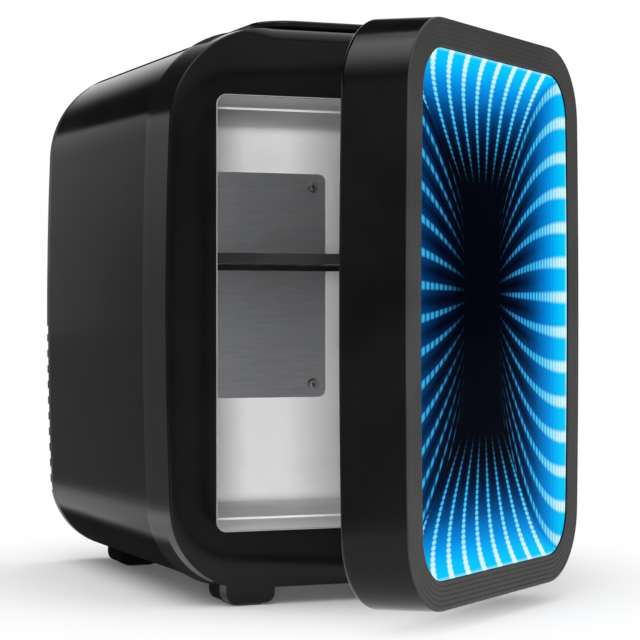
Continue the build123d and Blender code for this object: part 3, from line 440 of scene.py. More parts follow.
for side in (-1, 1):
    foot(frame_shape, side, -foot_proud)
front_frame = solid("front_frame_moulding", frame_shape, frame_black)
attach(front_frame, "cabinet")
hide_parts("front_frame")

# Compartment liner. A pale styrene tub, vacuum formed and pushed into the frame from behind;
# its rolled lip shows as a thin bright line round the opening. Foam fills the space behind it.
def dress(node, material):
    """Give a carried-over CAD node its finish."""
    frame["nodes"][node].data.materials.clear()
    frame["nodes"][node].data.materials.append(material)


liner_white = moulded(
    "liner_white", (0.70, 0.70, 0.705), (0.75, 0.75, 0.755),
    roughness=(0.34, 0.46), grain=260, relief=0.05, level=0.4,
)
dress("inner_liner", liner_white)

lip_shape = ([], [])
lip_thickness, lip_proud, lip_gap, lip_start, lip_round = 0.4, 0.08, 0.02, 0.05, 0.1
skin(lip_shape, [
    at_depth(opening_ring(-lip_gap), face_wall),
    at_depth(opening_ring(-lip_gap), lip_start),
    at_depth(opening_ring(-lip_gap - lip_round), -lip_proud),
    at_depth(opening_ring(-lip_thickness + lip_round), -lip_proud),
    at_depth(opening_ring(-lip_thickness), lip_start),
    at_depth(opening_ring(-lip_thickness), face_wall),
])
lip_grey = moulded(
    "lip_grey", (0.26, 0.26, 0.265), (0.32, 0.32, 0.325),
    roughness=(0.34, 0.46), grain=260, relief=0.05,
)
liner_lip = solid("liner_lip", lip_shape, lip_grey)
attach(liner_lip, "cabinet")

foam, foam_shader, tone = new_finish("foam")
foam_light, foam_dark, cell_scale, cell_depth = (0.86, 0.82, 0.68), (0.72, 0.66, 0.5), 900, 0.0006
cells = tone.node("ShaderNodeTexVoronoi", inputs={"Vector": tone.place(), "Scale": cell_scale})
feed(foam_shader, cells.spread(0.1, 0.7).blend(foam_light, foam_dark), "Base Color")
feed(foam_shader, cells.spread(0.1, 0.7, 0.8, 0.95), "Roughness")
feed(foam_shader, cells.bump(0.4, cell_depth), "Normal")
dress("insulation_foam", foam)
dress("door_insulation", foam)

# Shelf. A slotted plate of smoke-tinted acrylic with a rim below that rests on the liner's ledges.
# It is injection moulded and polished, and only lifts out by hand.
smoke_plastic = moulded(
    "smoke_plastic", (0.010, 0.010, 0.011), (0.018, 0.018, 0.02),
    roughness=(0.12, 0.2), grain=300, relief=0.02,
)
dress("shelf", smoke_plastic)

# Cooling unit. An anodised cold plate is screwed to the liner's back wall; behind it an aluminium
# block, the ceramic module and a finned sink pass the heat to a fan on the bulkhead.
line_depth = 0.0001


def drawn_metal(name, dark, light, roughness, stretch, scale=60):
    """Bare metal with the fine lines of rolling or brushing along one axis."""
    material, shader, tone = new_finish(name, Metallic=1.0)
    lines = tone.noise(scale, 4, stretch)
    feed(shader, lines.spread(0.3, 0.7).blend(dark, light), "Base Color")
    feed(shader, lines.spread(0.2, 0.8, *roughness), "Roughness")
    feed(shader, lines.bump(0.08, line_depth), "Normal")
    return material


aluminium = drawn_metal(
    "aluminium", (0.74, 0.75, 0.76), (0.82, 0.83, 0.84), roughness=(0.34, 0.46), stretch=(1, 1, 14)
)
steel = drawn_metal(
    "steel", (0.5, 0.51, 0.52), (0.66, 0.67, 0.68),
    roughness=(0.24, 0.4), stretch=(12, 1, 1), scale=90,
)
black_matte = moulded(
    "black_matte", (0.014, 0.014, 0.015), (0.022, 0.022, 0.023),
    roughness=(0.5, 0.65), grain=700, relief=0.12,
)
module_ceramic = moulded(
    "module_ceramic", (0.84, 0.84, 0.82), (0.9, 0.9, 0.88),
    roughness=(0.55, 0.7), grain=900, relief=0.08,
)
for node in ("cold_plate", "cold_block", "heat_sink"):
    dress(node, aluminium)
for node in (
    "fan_screws", "fan_axle", "strike_plates", "ac_inlet_pins", "dc_inlet_pin", "handle_pins",
):
    dress(node, steel)
for node in ("rear_bulkhead", "fan_frame", "fan_rotor"):
    dress(node, black_matte)
dress("peltier_module", module_ceramic)


def screw_tree():
    """Geometry nodes: a pan-head screw with a cross recess on every point of the object's mesh."""
    tree = bpy.data.node_groups.new("pan_head_screws", "GeometryNodeTree")
    face = tree.interface
    face.new_socket("Geometry", in_out="OUTPUT", socket_type="NodeSocketGeometry")
    face.new_socket("Points", in_out="INPUT", socket_type="NodeSocketGeometry")
    for name in ("Head Radius", "Head Height", "Shank Radius", "Shank Length"):
        face.new_socket(name, in_out="INPUT", socket_type="NodeSocketFloat")
    face.new_socket("Facing", in_out="INPUT", socket_type="NodeSocketVector")
    face.new_socket("Finish", in_out="INPUT", socket_type="NodeSocketMaterial")

    def add(kind, settings=None, **sockets):
        node = tree.nodes.new(kind)
        for name, value in (settings or {}).items():
            setattr(node, name, value)
        for name, value in sockets.items():
            target = node.inputs[name.replace("_", " ")]
            if isinstance(value, bpy.types.NodeSocket):
                tree.links.new(value, target)
            else:
                target.default_value = value
        return node

    def maths(operation, a, b):
        node = add("ShaderNodeMath", {"operation": operation})
        for socket, value in zip(node.inputs, (a, b)):
            if isinstance(value, bpy.types.NodeSocket):
                tree.links.new(value, socket)
            else:
                socket.default_value = value
        return node.outputs[0]

    def times(a, b):
        return maths("MULTIPLY", a, b)

    def vector(x, y, z):
        return add("ShaderNodeCombineXYZ", X=x, Y=y, Z=z).outputs[0]

    def block(wide, deep, tall, lift):
        """Cutting block sized and lifted in multiples of the head's radius and height."""
        size = vector(times(head_radius, wide), times(head_radius, deep), times(head_height, tall))
        cube = add("GeometryNodeMeshCube", Size=size).outputs[0]
        lifted = vector(0.0, 0.0, times(head_height, lift))
        return add("GeometryNodeTransform", Geometry=cube, Translation=lifted)

    given = tree.nodes.new("NodeGroupInput").outputs
    head_radius, head_height = given["Head Radius"], given["Head Height"]
    shank_radius, shank_length = given["Shank Radius"], given["Shank Length"]
    dome = add("GeometryNodeMeshUVSphere", Segments=28, Rings=14, Radius=head_radius).outputs[0]
    squash = vector(1.0, 1.0, maths("DIVIDE", head_height, head_radius))
    dome = add("GeometryNodeTransform", Geometry=dome, Scale=squash).outputs[0]
    below = block(3.0, 3.0, 2.0, -1.0)
    arm = block(1.15, 0.3, 1.1, 1.0)
    across = add("GeometryNodeTransform", Geometry=arm.outputs[0], Rotation=(0.0, 0.0, pi / 2))
    head = tree.nodes.new("GeometryNodeMeshBoolean")
    head.operation = "DIFFERENCE"
    tree.links.new(dome, head.inputs[0])
    for cutter in (below, arm, across):
        tree.links.new(cutter.outputs[0], head.inputs[1])
    shank = add(
        "GeometryNodeMeshCylinder", Vertices=20, Radius=shank_radius, Depth=shank_length
    )
    sunk = vector(0.0, 0.0, times(shank_length, -0.499))
    shank = add("GeometryNodeTransform", Geometry=shank.outputs[0], Translation=sunk)
    join = tree.nodes.new("GeometryNodeJoinGeometry")
    for part in (shank, head):
        tree.links.new(part.outputs[0], join.inputs[0])
    turn = add("FunctionNodeEulerToRotation", Euler=given["Facing"])
    placed = add(
        "GeometryNodeInstanceOnPoints",
        Points=given["Points"],
        Instance=join.outputs[0],
        Rotation=turn.outputs[0],
    )
    real = add("GeometryNodeRealizeInstances", Geometry=placed.outputs[0])
    done = add("GeometryNodeSetMaterial", Geometry=real.outputs[0], Material=given["Finish"])
    tree.links.new(done.outputs[0], tree.nodes.new("NodeGroupOutput").inputs[0])
    return tree


screw_nodes = screw_tree()


screw_head, screw_height, screw_shank, screw_length, screw_crease = 3.2, 1.8, 1.5, 9.0, 35


def screws(name, places, facing, height, material):
    """One mesh with a screw at each place (mm), its head turned to face along facing."""
    mesh = bpy.data.meshes.new(name + "_points")
    mesh.from_pydata([Vector(p) * mm for p in places], [], [])
    made = bpy.data.objects.new(name, mesh)
    bpy.context.scene.collection.objects.link(made)
    modifier = made.modifiers.new("screws", "NODES")
    modifier.node_group = screw_nodes
    sizes = {
        "Head Radius": screw_head * mm,
        "Head Height": height * mm,
        "Shank Radius": screw_shank * mm,
        "Shank Length": screw_length * mm,
        "Facing": Vector(facing).to_track_quat("Z", "Y").to_euler(),
        "Finish": material,
    }
    for item in screw_nodes.interface.items_tree:
        if item.in_out == "INPUT" and item.name in sizes:
            modifier[item.identifier] = sizes[item.name]
    made.update_tag()
    settle(made)
    made.data.polygons.foreach_set("use_smooth", [True] * len(made.data.polygons))
    made.data.set_sharp_from_angle(angle=radians(screw_crease))
    return made


cold_y, unit_z, cold_across, cold_up = 144.5, 150.0, 38, 53
cold_places = [
    (x, cold_y, unit_z + z) for x in (-cold_across, cold_across) for z in (-cold_up, cold_up)
]
cold_screws = screws("cold_plate_screw_set", cold_places, (0, -1, 0), screw_height, steel)
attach(cold_screws, "cabinet")
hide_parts("cold_plate_screws")

# Rear shell. The body of the cabinet is a second black ABS moulding, a tube that butts against the
# frame one step lower, with two feet below and two ears on top for the handle's pins. Its sides are
# polished, and its top and underside keep the mould's fine texture.
shell_grow, shell_rear, shell_bevel, seam_gap = 1.0, 204.0, 0.4, 0.02
shell_stations, rear_foot_start = (60, 95, 130, 165), 170.0
shell_shape = ([], [])
skin(shell_shape, [
    at_depth(cabinet_ring(shell_grow - shell_bevel), frame_depth + seam_gap),
    at_depth(cabinet_ring(shell_grow), frame_depth + shell_bevel),
    *[at_depth(cabinet_ring(shell_grow), y) for y in shell_stations],
    at_depth(cabinet_ring(shell_grow), shell_rear - shell_bevel),
    at_depth(cabinet_ring(shell_grow - shell_bevel), shell_rear - seam_gap),
    at_depth(cabinet_ring(shell_grow - frame_wall), shell_rear - seam_gap),
    at_depth(cabinet_ring(shell_grow - frame_wall), frame_depth + seam_gap),
])
for side in (-1, 1):
    foot(shell_shape, side, rear_foot_start)
handle_y, handle_z = 104.0, 270.7
ear_outer, ear_thickness, ear_radius, ear_foot, ear_base = 29.6, 5.0, 2.4, 6.0, 266.0
ear_from, ear_sweep, ear_steps = 150, 120, 16
ear_edge = ((0.5, 0), (0.15, 0.15), (0, 0.5))
ear_far_edge = [(inset, ear_thickness - out) for inset, out in reversed(ear_edge)]
for side in (-1, 1):
    profile = [(handle_y - ear_foot, ear_base)]
    for i in range(ear_steps + 1):
        angle = radians(ear_from - ear_sweep * i / ear_steps)
        profile.append((handle_y + ear_radius * cos(angle), handle_z + ear_radius * sin(angle)))
    profile.append((handle_y + ear_foot, ear_base))
    rings = []
    for inset, out in (*ear_edge, *ear_far_edge):
        ring = grown(profile, [-inset] * len(profile))
        rings.append([(side * (ear_outer - out), y, z) for y, z in ring])
    skin(shell_shape, rings, loop=False)
shell_polish = (0.08, 0.12)
shell_black = moulded(
    "shell_black", black, (0.003, 0.003, 0.0032), shell_polish, grain=70, relief=0.01, level=0.04
)
unpolished(shell_black, shell_polish)
rear_shell = solid("rear_shell_moulding", shell_shape, shell_black)
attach(rear_shell, "cabinet")
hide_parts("rear_shell")

# Rear cover. A satin black pan that closes the back, with the fan's grille and a row of vent slots
# wrapped round each rear edge; four pan-head screws hold it to the posts of the bulkhead.
black_satin = moulded(
    "black_satin", (0.008, 0.008, 0.0085), (0.013, 0.013, 0.014),
    roughness=(0.34, 0.44), grain=900, relief=0.1, level=0.4,
)
dress("rear_cover", black_satin)
dark_steel = drawn_metal(
    "dark_steel", (0.05, 0.05, 0.055), (0.1, 0.1, 0.105),
    roughness=(0.3, 0.45), stretch=(1, 1, 1), scale=300,
)
cover_y, post_x, post_heights = 218.0, 71, (41, 233.3)
post_places = [(x, cover_y, z) for x in (-post_x, post_x) for z in post_heights]
cover_screws = screws("rear_cover_screw_set", post_places, (0, 1, 0), screw_height, dark_steel)
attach(cover_screws, "cabinet")
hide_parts("rear_cover_screws")

# Power supply, inlets and mode switch. A green laminate board on brass standoffs carries the tall
# parts; the inlets and the rocker's housing snap through the rear cover from outside.
brass = drawn_metal(
    "brass", (0.62, 0.46, 0.18), (0.78, 0.6, 0.28), roughness=(0.25, 0.4), stretch=(1, 14, 1)
)
dress("board_standoffs", brass)
board_green, board_shader, tone = new_finish("board_green", Roughness=0.35)
tracks = tone.node("ShaderNodeTexBrick", {"offset": 0.5}, {
    "Vector": tone.place(),
    "Scale": 160.0,
    "Mortar Size": 0.06,
    "Color1": (0.01, 0.13, 0.05, 1),
    "Color2": (0.015, 0.17, 0.065, 1),
    "Mortar": (0.05, 0.3, 0.14, 1),
})
feed(board_shader, tracks, "Base Color")
for node in ("power_board", "led_driver_board"):
    dress(node, board_green)
transformer_tape = moulded(
    "transformer_tape", (0.62, 0.46, 0.06), (0.74, 0.57, 0.1),
    roughness=(0.4, 0.55), grain=200, relief=0.1,
)
dress("transformer", transformer_tape)
capacitor_sleeve = moulded(
    "capacitor_sleeve", (0.02, 0.022, 0.05), (0.03, 0.034, 0.08),
    roughness=(0.25, 0.35), grain=300, relief=0.04,
)
dress("capacitors", capacitor_sleeve)
for node in ("ac_inlet", "dc_inlet", "switch_housing"):
    dress(node, black_matte)
dress("switch_rocker", black_satin)

# Feet pads. Four die-cut rubber pads are glued into the soles of the moulded feet.
# Their skin is dull and slightly pitted, so that they grip a counter.
rubber = moulded(
    "rubber", (0.012, 0.012, 0.012), (0.022, 0.022, 0.022),
    roughness=(0.75, 0.9), grain=1500, relief=0.3,
)
dress("foot_pads", rubber)

# Carrying handle. A flat bail in the same glossy black ABS, with rounded edges all round;
# it lies on the top behind the brow and swings up on two steel pins, each held by an ear.
dress("carry_handle", black_gloss)

# Hinges. Two pressed steel brackets are screwed to the face, each with a knuckle that holds a
# fixed pin; the door's bosses turn on the pins. The heads of the screws lie flush.
for node in ("hinge_bracket_lower", "hinge_bracket_upper", "hinge_pins", "hinge_screws"):
    dress(node, steel)

# Door frame. A deep black bezel, moulded with a slight draft: polished sides with a soft back edge,
# a satin grey border with five fine grooves, and a step that the pane drops into from behind.
open_angle = radians(39.0)
hinge_x, hinge_y = 86.5, -6.5
door_half, door_bottom, door_top, door_radius, door_bulge = 90.75, 10.1, 257.5, 33.0, 3.0
door_back, door_front, door_draft, door_wall = -2.0, -34.0, 1.0, 3.0
door_middle = (door_bottom + door_top) / 2


def swung(x, y, z):
    """Where a point of the closed door lies with the door open."""
    dx, dy = x - hinge_x, y - hinge_y
    return (
        hinge_x + dx * cos(open_angle) - dy * sin(open_angle),
        hinge_y + dx * sin(open_angle) + dy * cos(open_angle),
        z,
    )


def door_ring(inset, y):
    """Ring of the door's outline, drawn inwards by inset, at closed depth y."""
    radius = door_radius - inset
    loop = bowed_ring(
        door_half - inset, door_bottom + inset, door_top - inset, radius, radius, door_bulge
    )
    return [swung(x, y, z) for x, z in loop]


border_width, glass_recess, pocket_inset, pocket_depth = 12.5, 1.2, 9.0, 2.5
groove_count, groove_start, groove_pitch, groove_half, groove_depth = 5, 2.4, 2.05, 0.34, 0.27
groove_ease = 1.5
back_round, front_round, window_round, break_across, break_deep = 3.0, 1.2, 0.4, 0.3, 0.4
back_steps, front_steps, groove_steps, window_steps = 8, 6, 8, 4
door_profile = [(door_wall, door_back - break_deep), (door_wall - break_across, door_back)]
for step in range(back_steps + 1):
    turn = pi / 2 * step / back_steps
    door_profile.append((
        -door_draft + back_round * (1 - sin(turn)),
        door_back - back_round * (1 - cos(turn)),
    ))
for step in range(front_steps + 1):
    turn = pi / 2 * step / front_steps
    door_profile.append((front_round * (1 - cos(turn)), door_front + front_round * (1 - sin(turn))))
for groove in range(groove_count):
    middle = groove_start + groove * groove_pitch
    for step in range(groove_steps + 1):
        turn = pi * step / groove_steps
        across = middle - groove_half * cos(turn)
        door_profile.append((across, door_front + groove_depth * sin(turn) ** groove_ease))
for step in range(window_steps + 1):
    turn = pi / 2 * step / window_steps
    door_profile.append((
        border_width - window_round * (1 - sin(turn)),
        door_front + window_round * (1 - cos(turn)),
    ))
door_profile += [
    (border_width, door_front + glass_recess),
    (pocket_inset, door_front + glass_recess),
    (pocket_inset, door_front + pocket_depth),
    (door_wall, door_front + pocket_depth),
]
door_shape = ([], [])
skin(door_shape, [door_ring(inset, y) for inset, y in door_profile])
bezel, bezel_shader, tone = new_finish("bezel", **{"Specular_IOR_Level": 0.22})
border_ends = (0.4, 1.1)
border_dark, border_light = (0.027, 0.0262, 0.0255), (0.035, 0.0338, 0.033)
border = tone.uv("border").spread(*border_ends, 1.0, 0.0)
cloud = faint_cloud(tone)
side_colour, border_colour = cloud.blend(black, deep_grey), cloud.blend(border_dark, border_light)
feed(bezel_shader, border.blend(side_colour, border_colour), "Base Color")
rub = uneven_gloss(tone)
border_rub, side_rub = rub * 0.08 + 0.44, rub * 0.05 + 0.1
feed(bezel_shader, border * border_rub + (1 - border) * side_rub, "Roughness")
feed(bezel_shader, (tone.noise(1200, 2) * border).bump(0.06, grain_depth), "Normal")
hinge_heights, notch_half = (62.3, 205.3), 8.5
notch_left, notch_right, notch_front, notch_back = 75.5, 97.2, -16.5, 3.0
notch_shape = ([], [])
for height in hinge_heights:
    skin(notch_shape, [
        [swung(x, y, height + end * notch_half) for x, y in (
            (notch_left, notch_front), (notch_right, notch_front),
            (notch_right, notch_back), (notch_left, notch_back),
        )]
        for end in (-1, 1)
    ], loop=False)
notches = solid("hinge_notches", notch_shape, bezel)
door_frame = solid("door_bezel", door_shape, bezel, cutter=notches)


def closed(spot):
    """Closed-door place (x, y) in mm of a point of the open door in metres."""
    dx, dy = spot.x / mm - hinge_x, spot.y / mm - hinge_y
    return (
        hinge_x + dx * cos(open_angle) + dy * sin(open_angle),
        hinge_y - dx * sin(open_angle) + dy * cos(open_angle),
    )


uv_unit = 100
border_map = door_frame.data.uv_layers.new(name="border")
for loop in door_frame.data.loops:
    spot = door_frame.data.vertices[loop.vertex_index].co
    border_map.data[loop.index].uv = (closed(spot)[1] - door_front, spot.z / mm / uv_unit)
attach(door_frame, "door")
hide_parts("door_frame")

# Infinity mirror. A half-silvered pane lies over a ring of lights and a full mirror, so the lights
# repeat inwards. The pane's emission is painted light: it paints the lights and their reflections
# as rows of dots that leave the border square and bend towards a dark slit, each step of depth
# smaller, bluer and dimmer than the last.
pane_front, pane_back, pane_inset, dark_line = -32.8, -29.8, 9.3, 0.5
pane_bevel, pane_heart = 0.3, 20.0
pane_insets = (
    pane_inset, pane_inset, pane_inset + pane_bevel,
    border_width, border_width + dark_line, pane_heart,
)
pane_depths = (pane_back, pane_front + pane_bevel, pane_front, pane_front, pane_front, pane_front)
pane_shape = ([], [])
skin(pane_shape, [door_ring(inset, y) for inset, y in zip(pane_insets, pane_depths)], loop=False)

# Painted light: the pane glows with a painted picture of the ring of lights and their reflections.
painted_light_pane, pane_shader, tone = new_finish("painted_light_pane", **{
    "Base_Color": (0.0002, 0.0003, 0.001, 1), "Emission_Strength": 1.0, "Specular_IOR_Level": 0.002,
})
place = tone.uv("pane")
across, along = place * uv_unit, place.part(1) * uv_unit

# Depth into the mirror, 0 at the border and 1 at the slit, from edges and runs in mm.
right_edge, right_run, left_edge, left_rate, left_start = 77.5, 71.5, 76.5, 0.011, 0.6
end_edge, upper_run, lower_run, deepest = 111.2, 59.0, 63.0, 1.1
from_right = (right_edge - across) / right_run
from_left = (across + left_edge) * left_rate + left_start
from_side = from_right.least(from_left)
from_end = ((end_edge - along) / upper_run).least((along + end_edge) / lower_run).most(0.0)
side_lead = from_end**0.5 - from_side
on_side = side_lead.maths("GREATER_THAN", side_lead, 0.0)
on_right = from_left.maths("GREATER_THAN", from_left, from_right)
depth = (from_side * on_side + from_end * (1 - on_side)).most(0.0).least(deepest)

# Number of the row that a point lies on: the rows close up and bend as they run inwards.
slit_height, side_closing, side_bend = 9.5, 0.62, 2.1
right_first, right_pitch, left_first, left_pitch = -1.3, 16.4, 3.0, 17.6
side_place = (along - slit_height) / (1 - side_closing * depth**side_bend)
right_row = (side_place - right_first) / right_pitch
left_row = (side_place - left_first) / left_pitch
side_row = on_right * right_row + (1 - on_right) * left_row
sway, sway_power, slit_shift = 12.0, 5, 15.5
end_closing, end_bend, end_first, end_pitch = 0.685, 1.24, 6.4, 16.3
end_middle = sway * (1 - depth).most(0.0) ** sway_power - slit_shift
end_place = (across - end_middle) / (1 - end_closing * depth**end_bend)
end_row = (end_place - end_first) / end_pitch
row = side_row * on_side + end_row * (1 - on_side) + 0.5
off_row = abs(row.maths("FRACT", row) - 0.5)

# Painted reflections of the lights, as dots along a row: dashes on the long sides, round beads at
# the ends, all fainter further in.
end_echoes, fewer_echoes, row_half, row_taper = 28.0, 6.5, 0.155, 0.06
echo = depth * (end_echoes - on_side * fewer_echoes)
off_dot = abs(echo.maths("FRACT", echo) - 0.5)
over_row = off_row / (row_half - depth * row_taper)
gap = off_dot.spread(0.16, 0.48) * depth.spread(0.04, 0.45, 0.45, 0.85)
dash = (1 - over_row.spread(0.55, 1.45)) * (1 - gap)
bead_gap = depth.spread(0.0, 0.25, 1.2, 2.1)
bead = 1 - (over_row**2.0 + (off_dot * bead_gap) ** 2.0).spread(0.3, 1.6)
side_fade, end_fade = depth.spread(0.78, deepest, 1.0, 0.0), depth.spread(0.5, 0.98, 1.0, 0.0)
fading = on_side * side_fade + (1 - on_side) * end_fade
dot = (dash * on_side + bead * (1 - on_side)) * fading

# Painted light behind the dots: a blue glow, painted shade between rows that lie deep and between
# dots, and a painted bright strip of the lights at the border.
night, painted_edge_glow, dark_rim = (0.0, 0.0004, 0.003), (0.5, 0.9, 0.92), (0.0, 0.0005, 0.001)
end_dimming = 1.3
side_share = side_lead.spread(-0.12, 0.12)
dimming = (side_share * from_side + (1 - side_share) * from_end * end_dimming).most(0.0)
glow = dimming.ramp(
    (0.0, (0.0, 0.62, 0.97)), (0.12, (0.0, 0.54, 0.97)), (0.22, (0.0, 0.4, 0.93)),
    (0.32, (0.0, 0.26, 0.74)), (0.42, (0.0, 0.17, 0.54)), (0.52, (0.0, 0.085, 0.3)),
    (0.65, (0.0, 0.036, 0.14)), (0.8, (0.0, 0.01, 0.045)), (1.0, night),
)
painted_dot_colour = depth.ramp(
    (0.0, (0.78, 0.97, 0.97)), (0.14, (0.62, 0.94, 0.97)), (0.3, (0.22, 0.8, 1.0)),
    (0.5, (0.04, 0.56, 0.97)), (0.75, (0.03, 0.34, 0.68)), (1.0, (0.02, 0.14, 0.28)),
)
# Painted shade between the deep rows and between the dots.
painted_row_shade = off_row.spread(0.14, 0.5) * depth.spread(0.3, 0.85, 0.0, 0.85)
painted_dot_shade = off_dot.spread(0.25, 0.5) * depth.spread(0.08, 0.25, 0.0, 0.24) * on_side
between = painted_row_shade.most(painted_dot_shade).blend(glow, night)
# Painted bright strip of the lights at the border.
strip = depth.spread(0.004, 0.03, 0.55, 0.0)
picture = dot.blend(strip.blend(between, painted_edge_glow), painted_dot_colour)
picture = tone.uv("rim").spread(0.2, 0.8).blend(dark_rim, picture)
feed(pane_shader, picture, "Emission Color")
feed(pane_shader, tone.noise(90, 3).spread(0.3, 0.7, 0.04, 0.09), "Roughness")

pane = solid("infinity_pane", pane_shape, painted_light_pane)
pane_map = pane.data.uv_layers.new(name="pane")
rim_map = pane.data.uv_layers.new(name="rim")
ring_count = len(pane.data.vertices) // len(pane_insets)
for loop in pane.data.loops:
    spot = pane.data.vertices[loop.vertex_index].co
    pane_map.data[loop.index].uv = (
        closed(spot)[0] / uv_unit, (spot.z / mm - door_middle) / uv_unit
    )
    inset = pane_insets[loop.vertex_index // ring_count]
    rim_map.data[loop.index].uv = (min(1.0, max(0.0, (inset - border_width) / dark_line)), 0.5)
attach(pane, "door")
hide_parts("two_way_mirror")

mirror_silver = drawn_metal(
    "mirror_silver", (0.78, 0.82, 0.86), (0.84, 0.87, 0.9),
    roughness=(0.02, 0.05), stretch=(1, 1, 1),
)
dress("back_mirror", mirror_silver)
dress("mirror_spacer", black_matte)
strip_film = moulded(
    "strip_film", (0.78, 0.78, 0.74), (0.84, 0.84, 0.8),
    roughness=(0.4, 0.5), grain=600, relief=0.05,
)
dress("led_strip", strip_film)
led_light, led_shader, tone = new_finish("led_light", Roughness=0.3, **{"Emission_Strength": 1.0})
lens = tone.noise(400, 1).spread(0.3, 0.7)
feed(led_shader, lens.blend((0.5, 0.9, 1.0), (0.75, 1.0, 1.0)), "Emission Color")
feed(led_shader, lens.blend((0.7, 0.8, 0.85), (0.85, 0.9, 0.92)), "Base Color")
dress("led_chips", led_light)

# Door back. A pale inner panel with a shallow plug closes the door, held by four screws; the soft
# grey gasket is glued round the plug and two magnets behind it hold the door shut.
dress("door_liner", liner_white)
gasket_rubber = moulded(
    "gasket_rubber", (0.1, 0.1, 0.1), (0.15, 0.15, 0.15),
    roughness=(0.6, 0.75), grain=800, relief=0.15,
)
dress("door_gasket", gasket_rubber)
magnet_black = moulded(
    "magnet_black", (0.03, 0.03, 0.032), (0.05, 0.05, 0.055),
    roughness=(0.5, 0.65), grain=1200, relief=0.2,
)
dress("door_magnets", magnet_black)
door_screw_x, door_screw_heights, low_head = 81.6, (47.8, 219.8), 0.85
door_screw_places = [
    swung(x, door_back, z) for x in (-door_screw_x, door_screw_x) for z in door_screw_heights
]
facing = (-sin(open_angle), cos(open_angle), 0)
door_screws = screws("door_screw_set", door_screw_places, facing, low_head, steel)
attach(door_screws, "door")
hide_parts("door_screws")

# Stage. A pale paper floor that gives way to grey on the left, a world with a white backdrop behind
# the object and a dim room elsewhere, two soft lamps in front, and the camera at the place from
# which the picture was taken, level and turned to the right.
reach = 14.0
floor_corners = [(-reach, -reach, 0), (reach, -reach, 0), (reach, reach, 0), (-reach, reach, 0)]
floor_mesh = bpy.data.meshes.new("floor")
floor_mesh.from_pydata(floor_corners, [], [(0, 1, 2, 3)])
floor = bpy.data.objects.new("floor", floor_mesh)
bpy.context.scene.collection.objects.link(floor)
heading_x, heading_y, backdrop_ends, grey_level = 0.372, 0.928, (0.766, 0.9135), 0.25


def compass(x, y):
    """Share of the white backdrop in a level direction, and the cosine from its middle."""
    facing = (x * heading_x + y * heading_y) / (x * x + y * y) ** 0.5
    return facing.spread(*backdrop_ends), facing


floor_finish, floor_shader, tone = new_finish(
    "floor_paper", Roughness=0.7, **{"Specular_IOR_Level": 0.2}
)
spot = tone.place()
shadow_middle, shadow_ends, viewer_x, viewer_y = (0.0, 0.11, 0.0), (0.11, 0.25), 0.38, 0.915
far = tone.node("ShaderNodeVectorMath", {"operation": "DISTANCE"}, {0: spot, 1: shadow_middle}, 1)
far = far.spread(*shadow_ends, 0.05, 0.95)
spot = spot.split()
edge_x, edge_y, edge_ends, front_ends = 0.978, 0.208, (-0.34, -0.2), (-0.5, -0.25)
inside_edge = (spot * edge_x - spot.part(1) * edge_y).spread(*edge_ends)
on_paper = inside_edge.most(spot.part(1).spread(*front_ends, 1.0, 0.0))
paper = tone.noise(6, 2).spread(0.3, 0.7).blend((0.89, 0.89, 0.89), (0.91, 0.91, 0.91))
feed(floor_shader, on_paper.blend((grey_level,) * 3, paper), "Base Color")
ahead = compass(spot + viewer_x, spot.part(1) + viewer_y)[1].spread(0.3, 0.93)
sweep = (ahead * on_paper * (1 - grey_level) + grey_level).grey()
sweep = tone.node("ShaderNodeEmission", inputs={"Color": sweep, "Strength": 1.0})
mixed = tone.node(
    "ShaderNodeMixShader", inputs={0: far, 1: Tone(tone.tree, floor_shader.outputs[0]), 2: sweep}
)
tone.tree.links.new(mixed.socket, tone.tree.nodes["Material Output"].inputs["Surface"])
floor_mesh.materials.append(floor_finish)

world = bpy.data.worlds.new("studio")
bpy.context.scene.world = world
world.use_nodes = True
sky = Tone(world.node_tree)
aim = sky.node("ShaderNodeTexCoord").split()
forward, height = aim.part(1), aim.part(2)
level_run = (aim * aim + forward**2.0) ** 0.5
sideways = aim / level_run
behind, facing = compass(aim, forward)

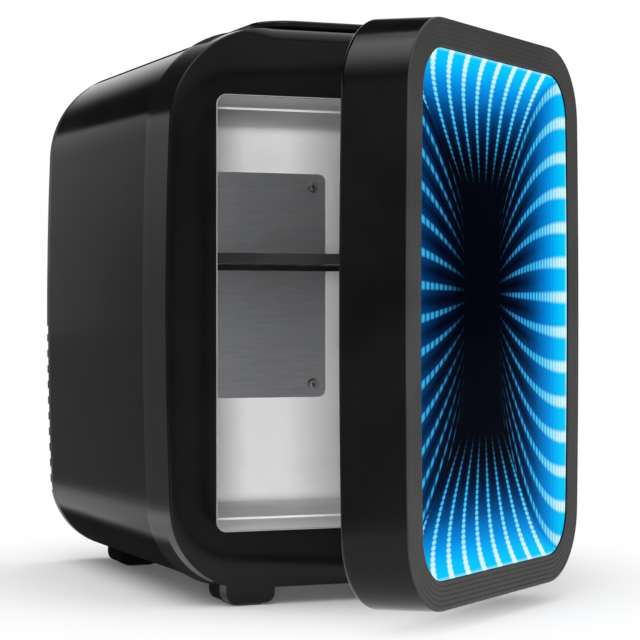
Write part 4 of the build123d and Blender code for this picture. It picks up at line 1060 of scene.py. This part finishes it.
# A band above the horizon: the white backdrop and the grey room, dimmer on the left.
band = behind + (1 - behind) * grey_level * (1 + height.spread(0.0, 0.19, 0.0, 1.6))
before = forward.spread(-0.3, 0.0, 1.0, 0.0)
rear_fade, front_fade = height.spread(0.188, 0.215, 1.0, 0.0), height.spread(0.19, 0.7, 1.0, 0.0)
band = band * (rear_fade * (1 - before) + front_fade * before)
left_x, left_y, left_dimming = 0.333, 0.943, 0.15
rear_left = ((forward * left_y - aim * left_x) / level_run).spread(0.9, 0.97)
band = band * (1 - rear_left * left_dimming) * sideways.spread(-0.9, -0.5, 0.5, 1.0)

# The backdrop's crest, and a dome of soft light with a dark flag behind and a panel on the left.
crest = facing.spread(0.9, 0.985) * height.spread(0.28, 0.42, 1.0, 0.0)
flag = sideways.spread(-0.8, -0.74) * sideways.spread(0.34, 0.41, 1.0, 0.0)
flag = flag * forward.spread(0.0, 0.05) * height.spread(0.885, 0.9, 1.0, 0.0)
left_panel = sideways.spread(-0.95, -0.5, 1.2, 0.0) * forward.spread(-0.2, 0.05)
dome_level, room_level = 1.7, 0.03
dome = height.spread(0.34, 0.94, 0.0, dome_level) * (1 - flag) * (1 + left_panel)
level = band.most(crest).most(dome) + room_level
backdrop = world.node_tree.nodes["Background"]
feed(backdrop, level.grey(), "Color")
backdrop.inputs["Strength"].default_value = 1.0


def softbox(name, place, target, size, power):
    lamp = bpy.data.lights.new(name, "AREA")
    lamp.shape = "RECTANGLE"
    lamp.size, lamp.size_y = size
    lamp.energy = power
    made = bpy.data.objects.new(name, lamp)
    made.location = place
    made.rotation_euler = (Vector(target) - Vector(place)).to_track_quat("-Z", "Y").to_euler()
    bpy.context.scene.collection.objects.link(made)
    return made


key_place, key_target = (-0.8, -1.5, 1.5), (0.0, -0.1, 0.0)
softbox("key_front", key_place, key_target, size=(1.2, 1.0), power=6)
fill_place, fill_target = (-0.75, -1.9, 0.14), (0.02, 0.15, 0.15)
fill = softbox("fill_front", fill_place, fill_target, size=(0.34, 0.25), power=36)
fill.visible_glossy = False

sensor, focal_pixels, picture_pixels, turned_right = 36.0, 2115.4, 640, 21.83
camera_data = bpy.data.cameras.new("camera")
camera_data.sensor_width = sensor
camera_data.lens = sensor * focal_pixels / picture_pixels
camera = bpy.data.objects.new("camera", camera_data)
camera.location = (-0.38247, -0.91507, 0.13142)
camera.rotation_euler = (pi / 2, 0, -radians(turned_right))
bpy.context.scene.collection.objects.link(camera)
bpy.context.scene.camera = camera
bpy.context.scene.view_settings.view_transform = "Standard"
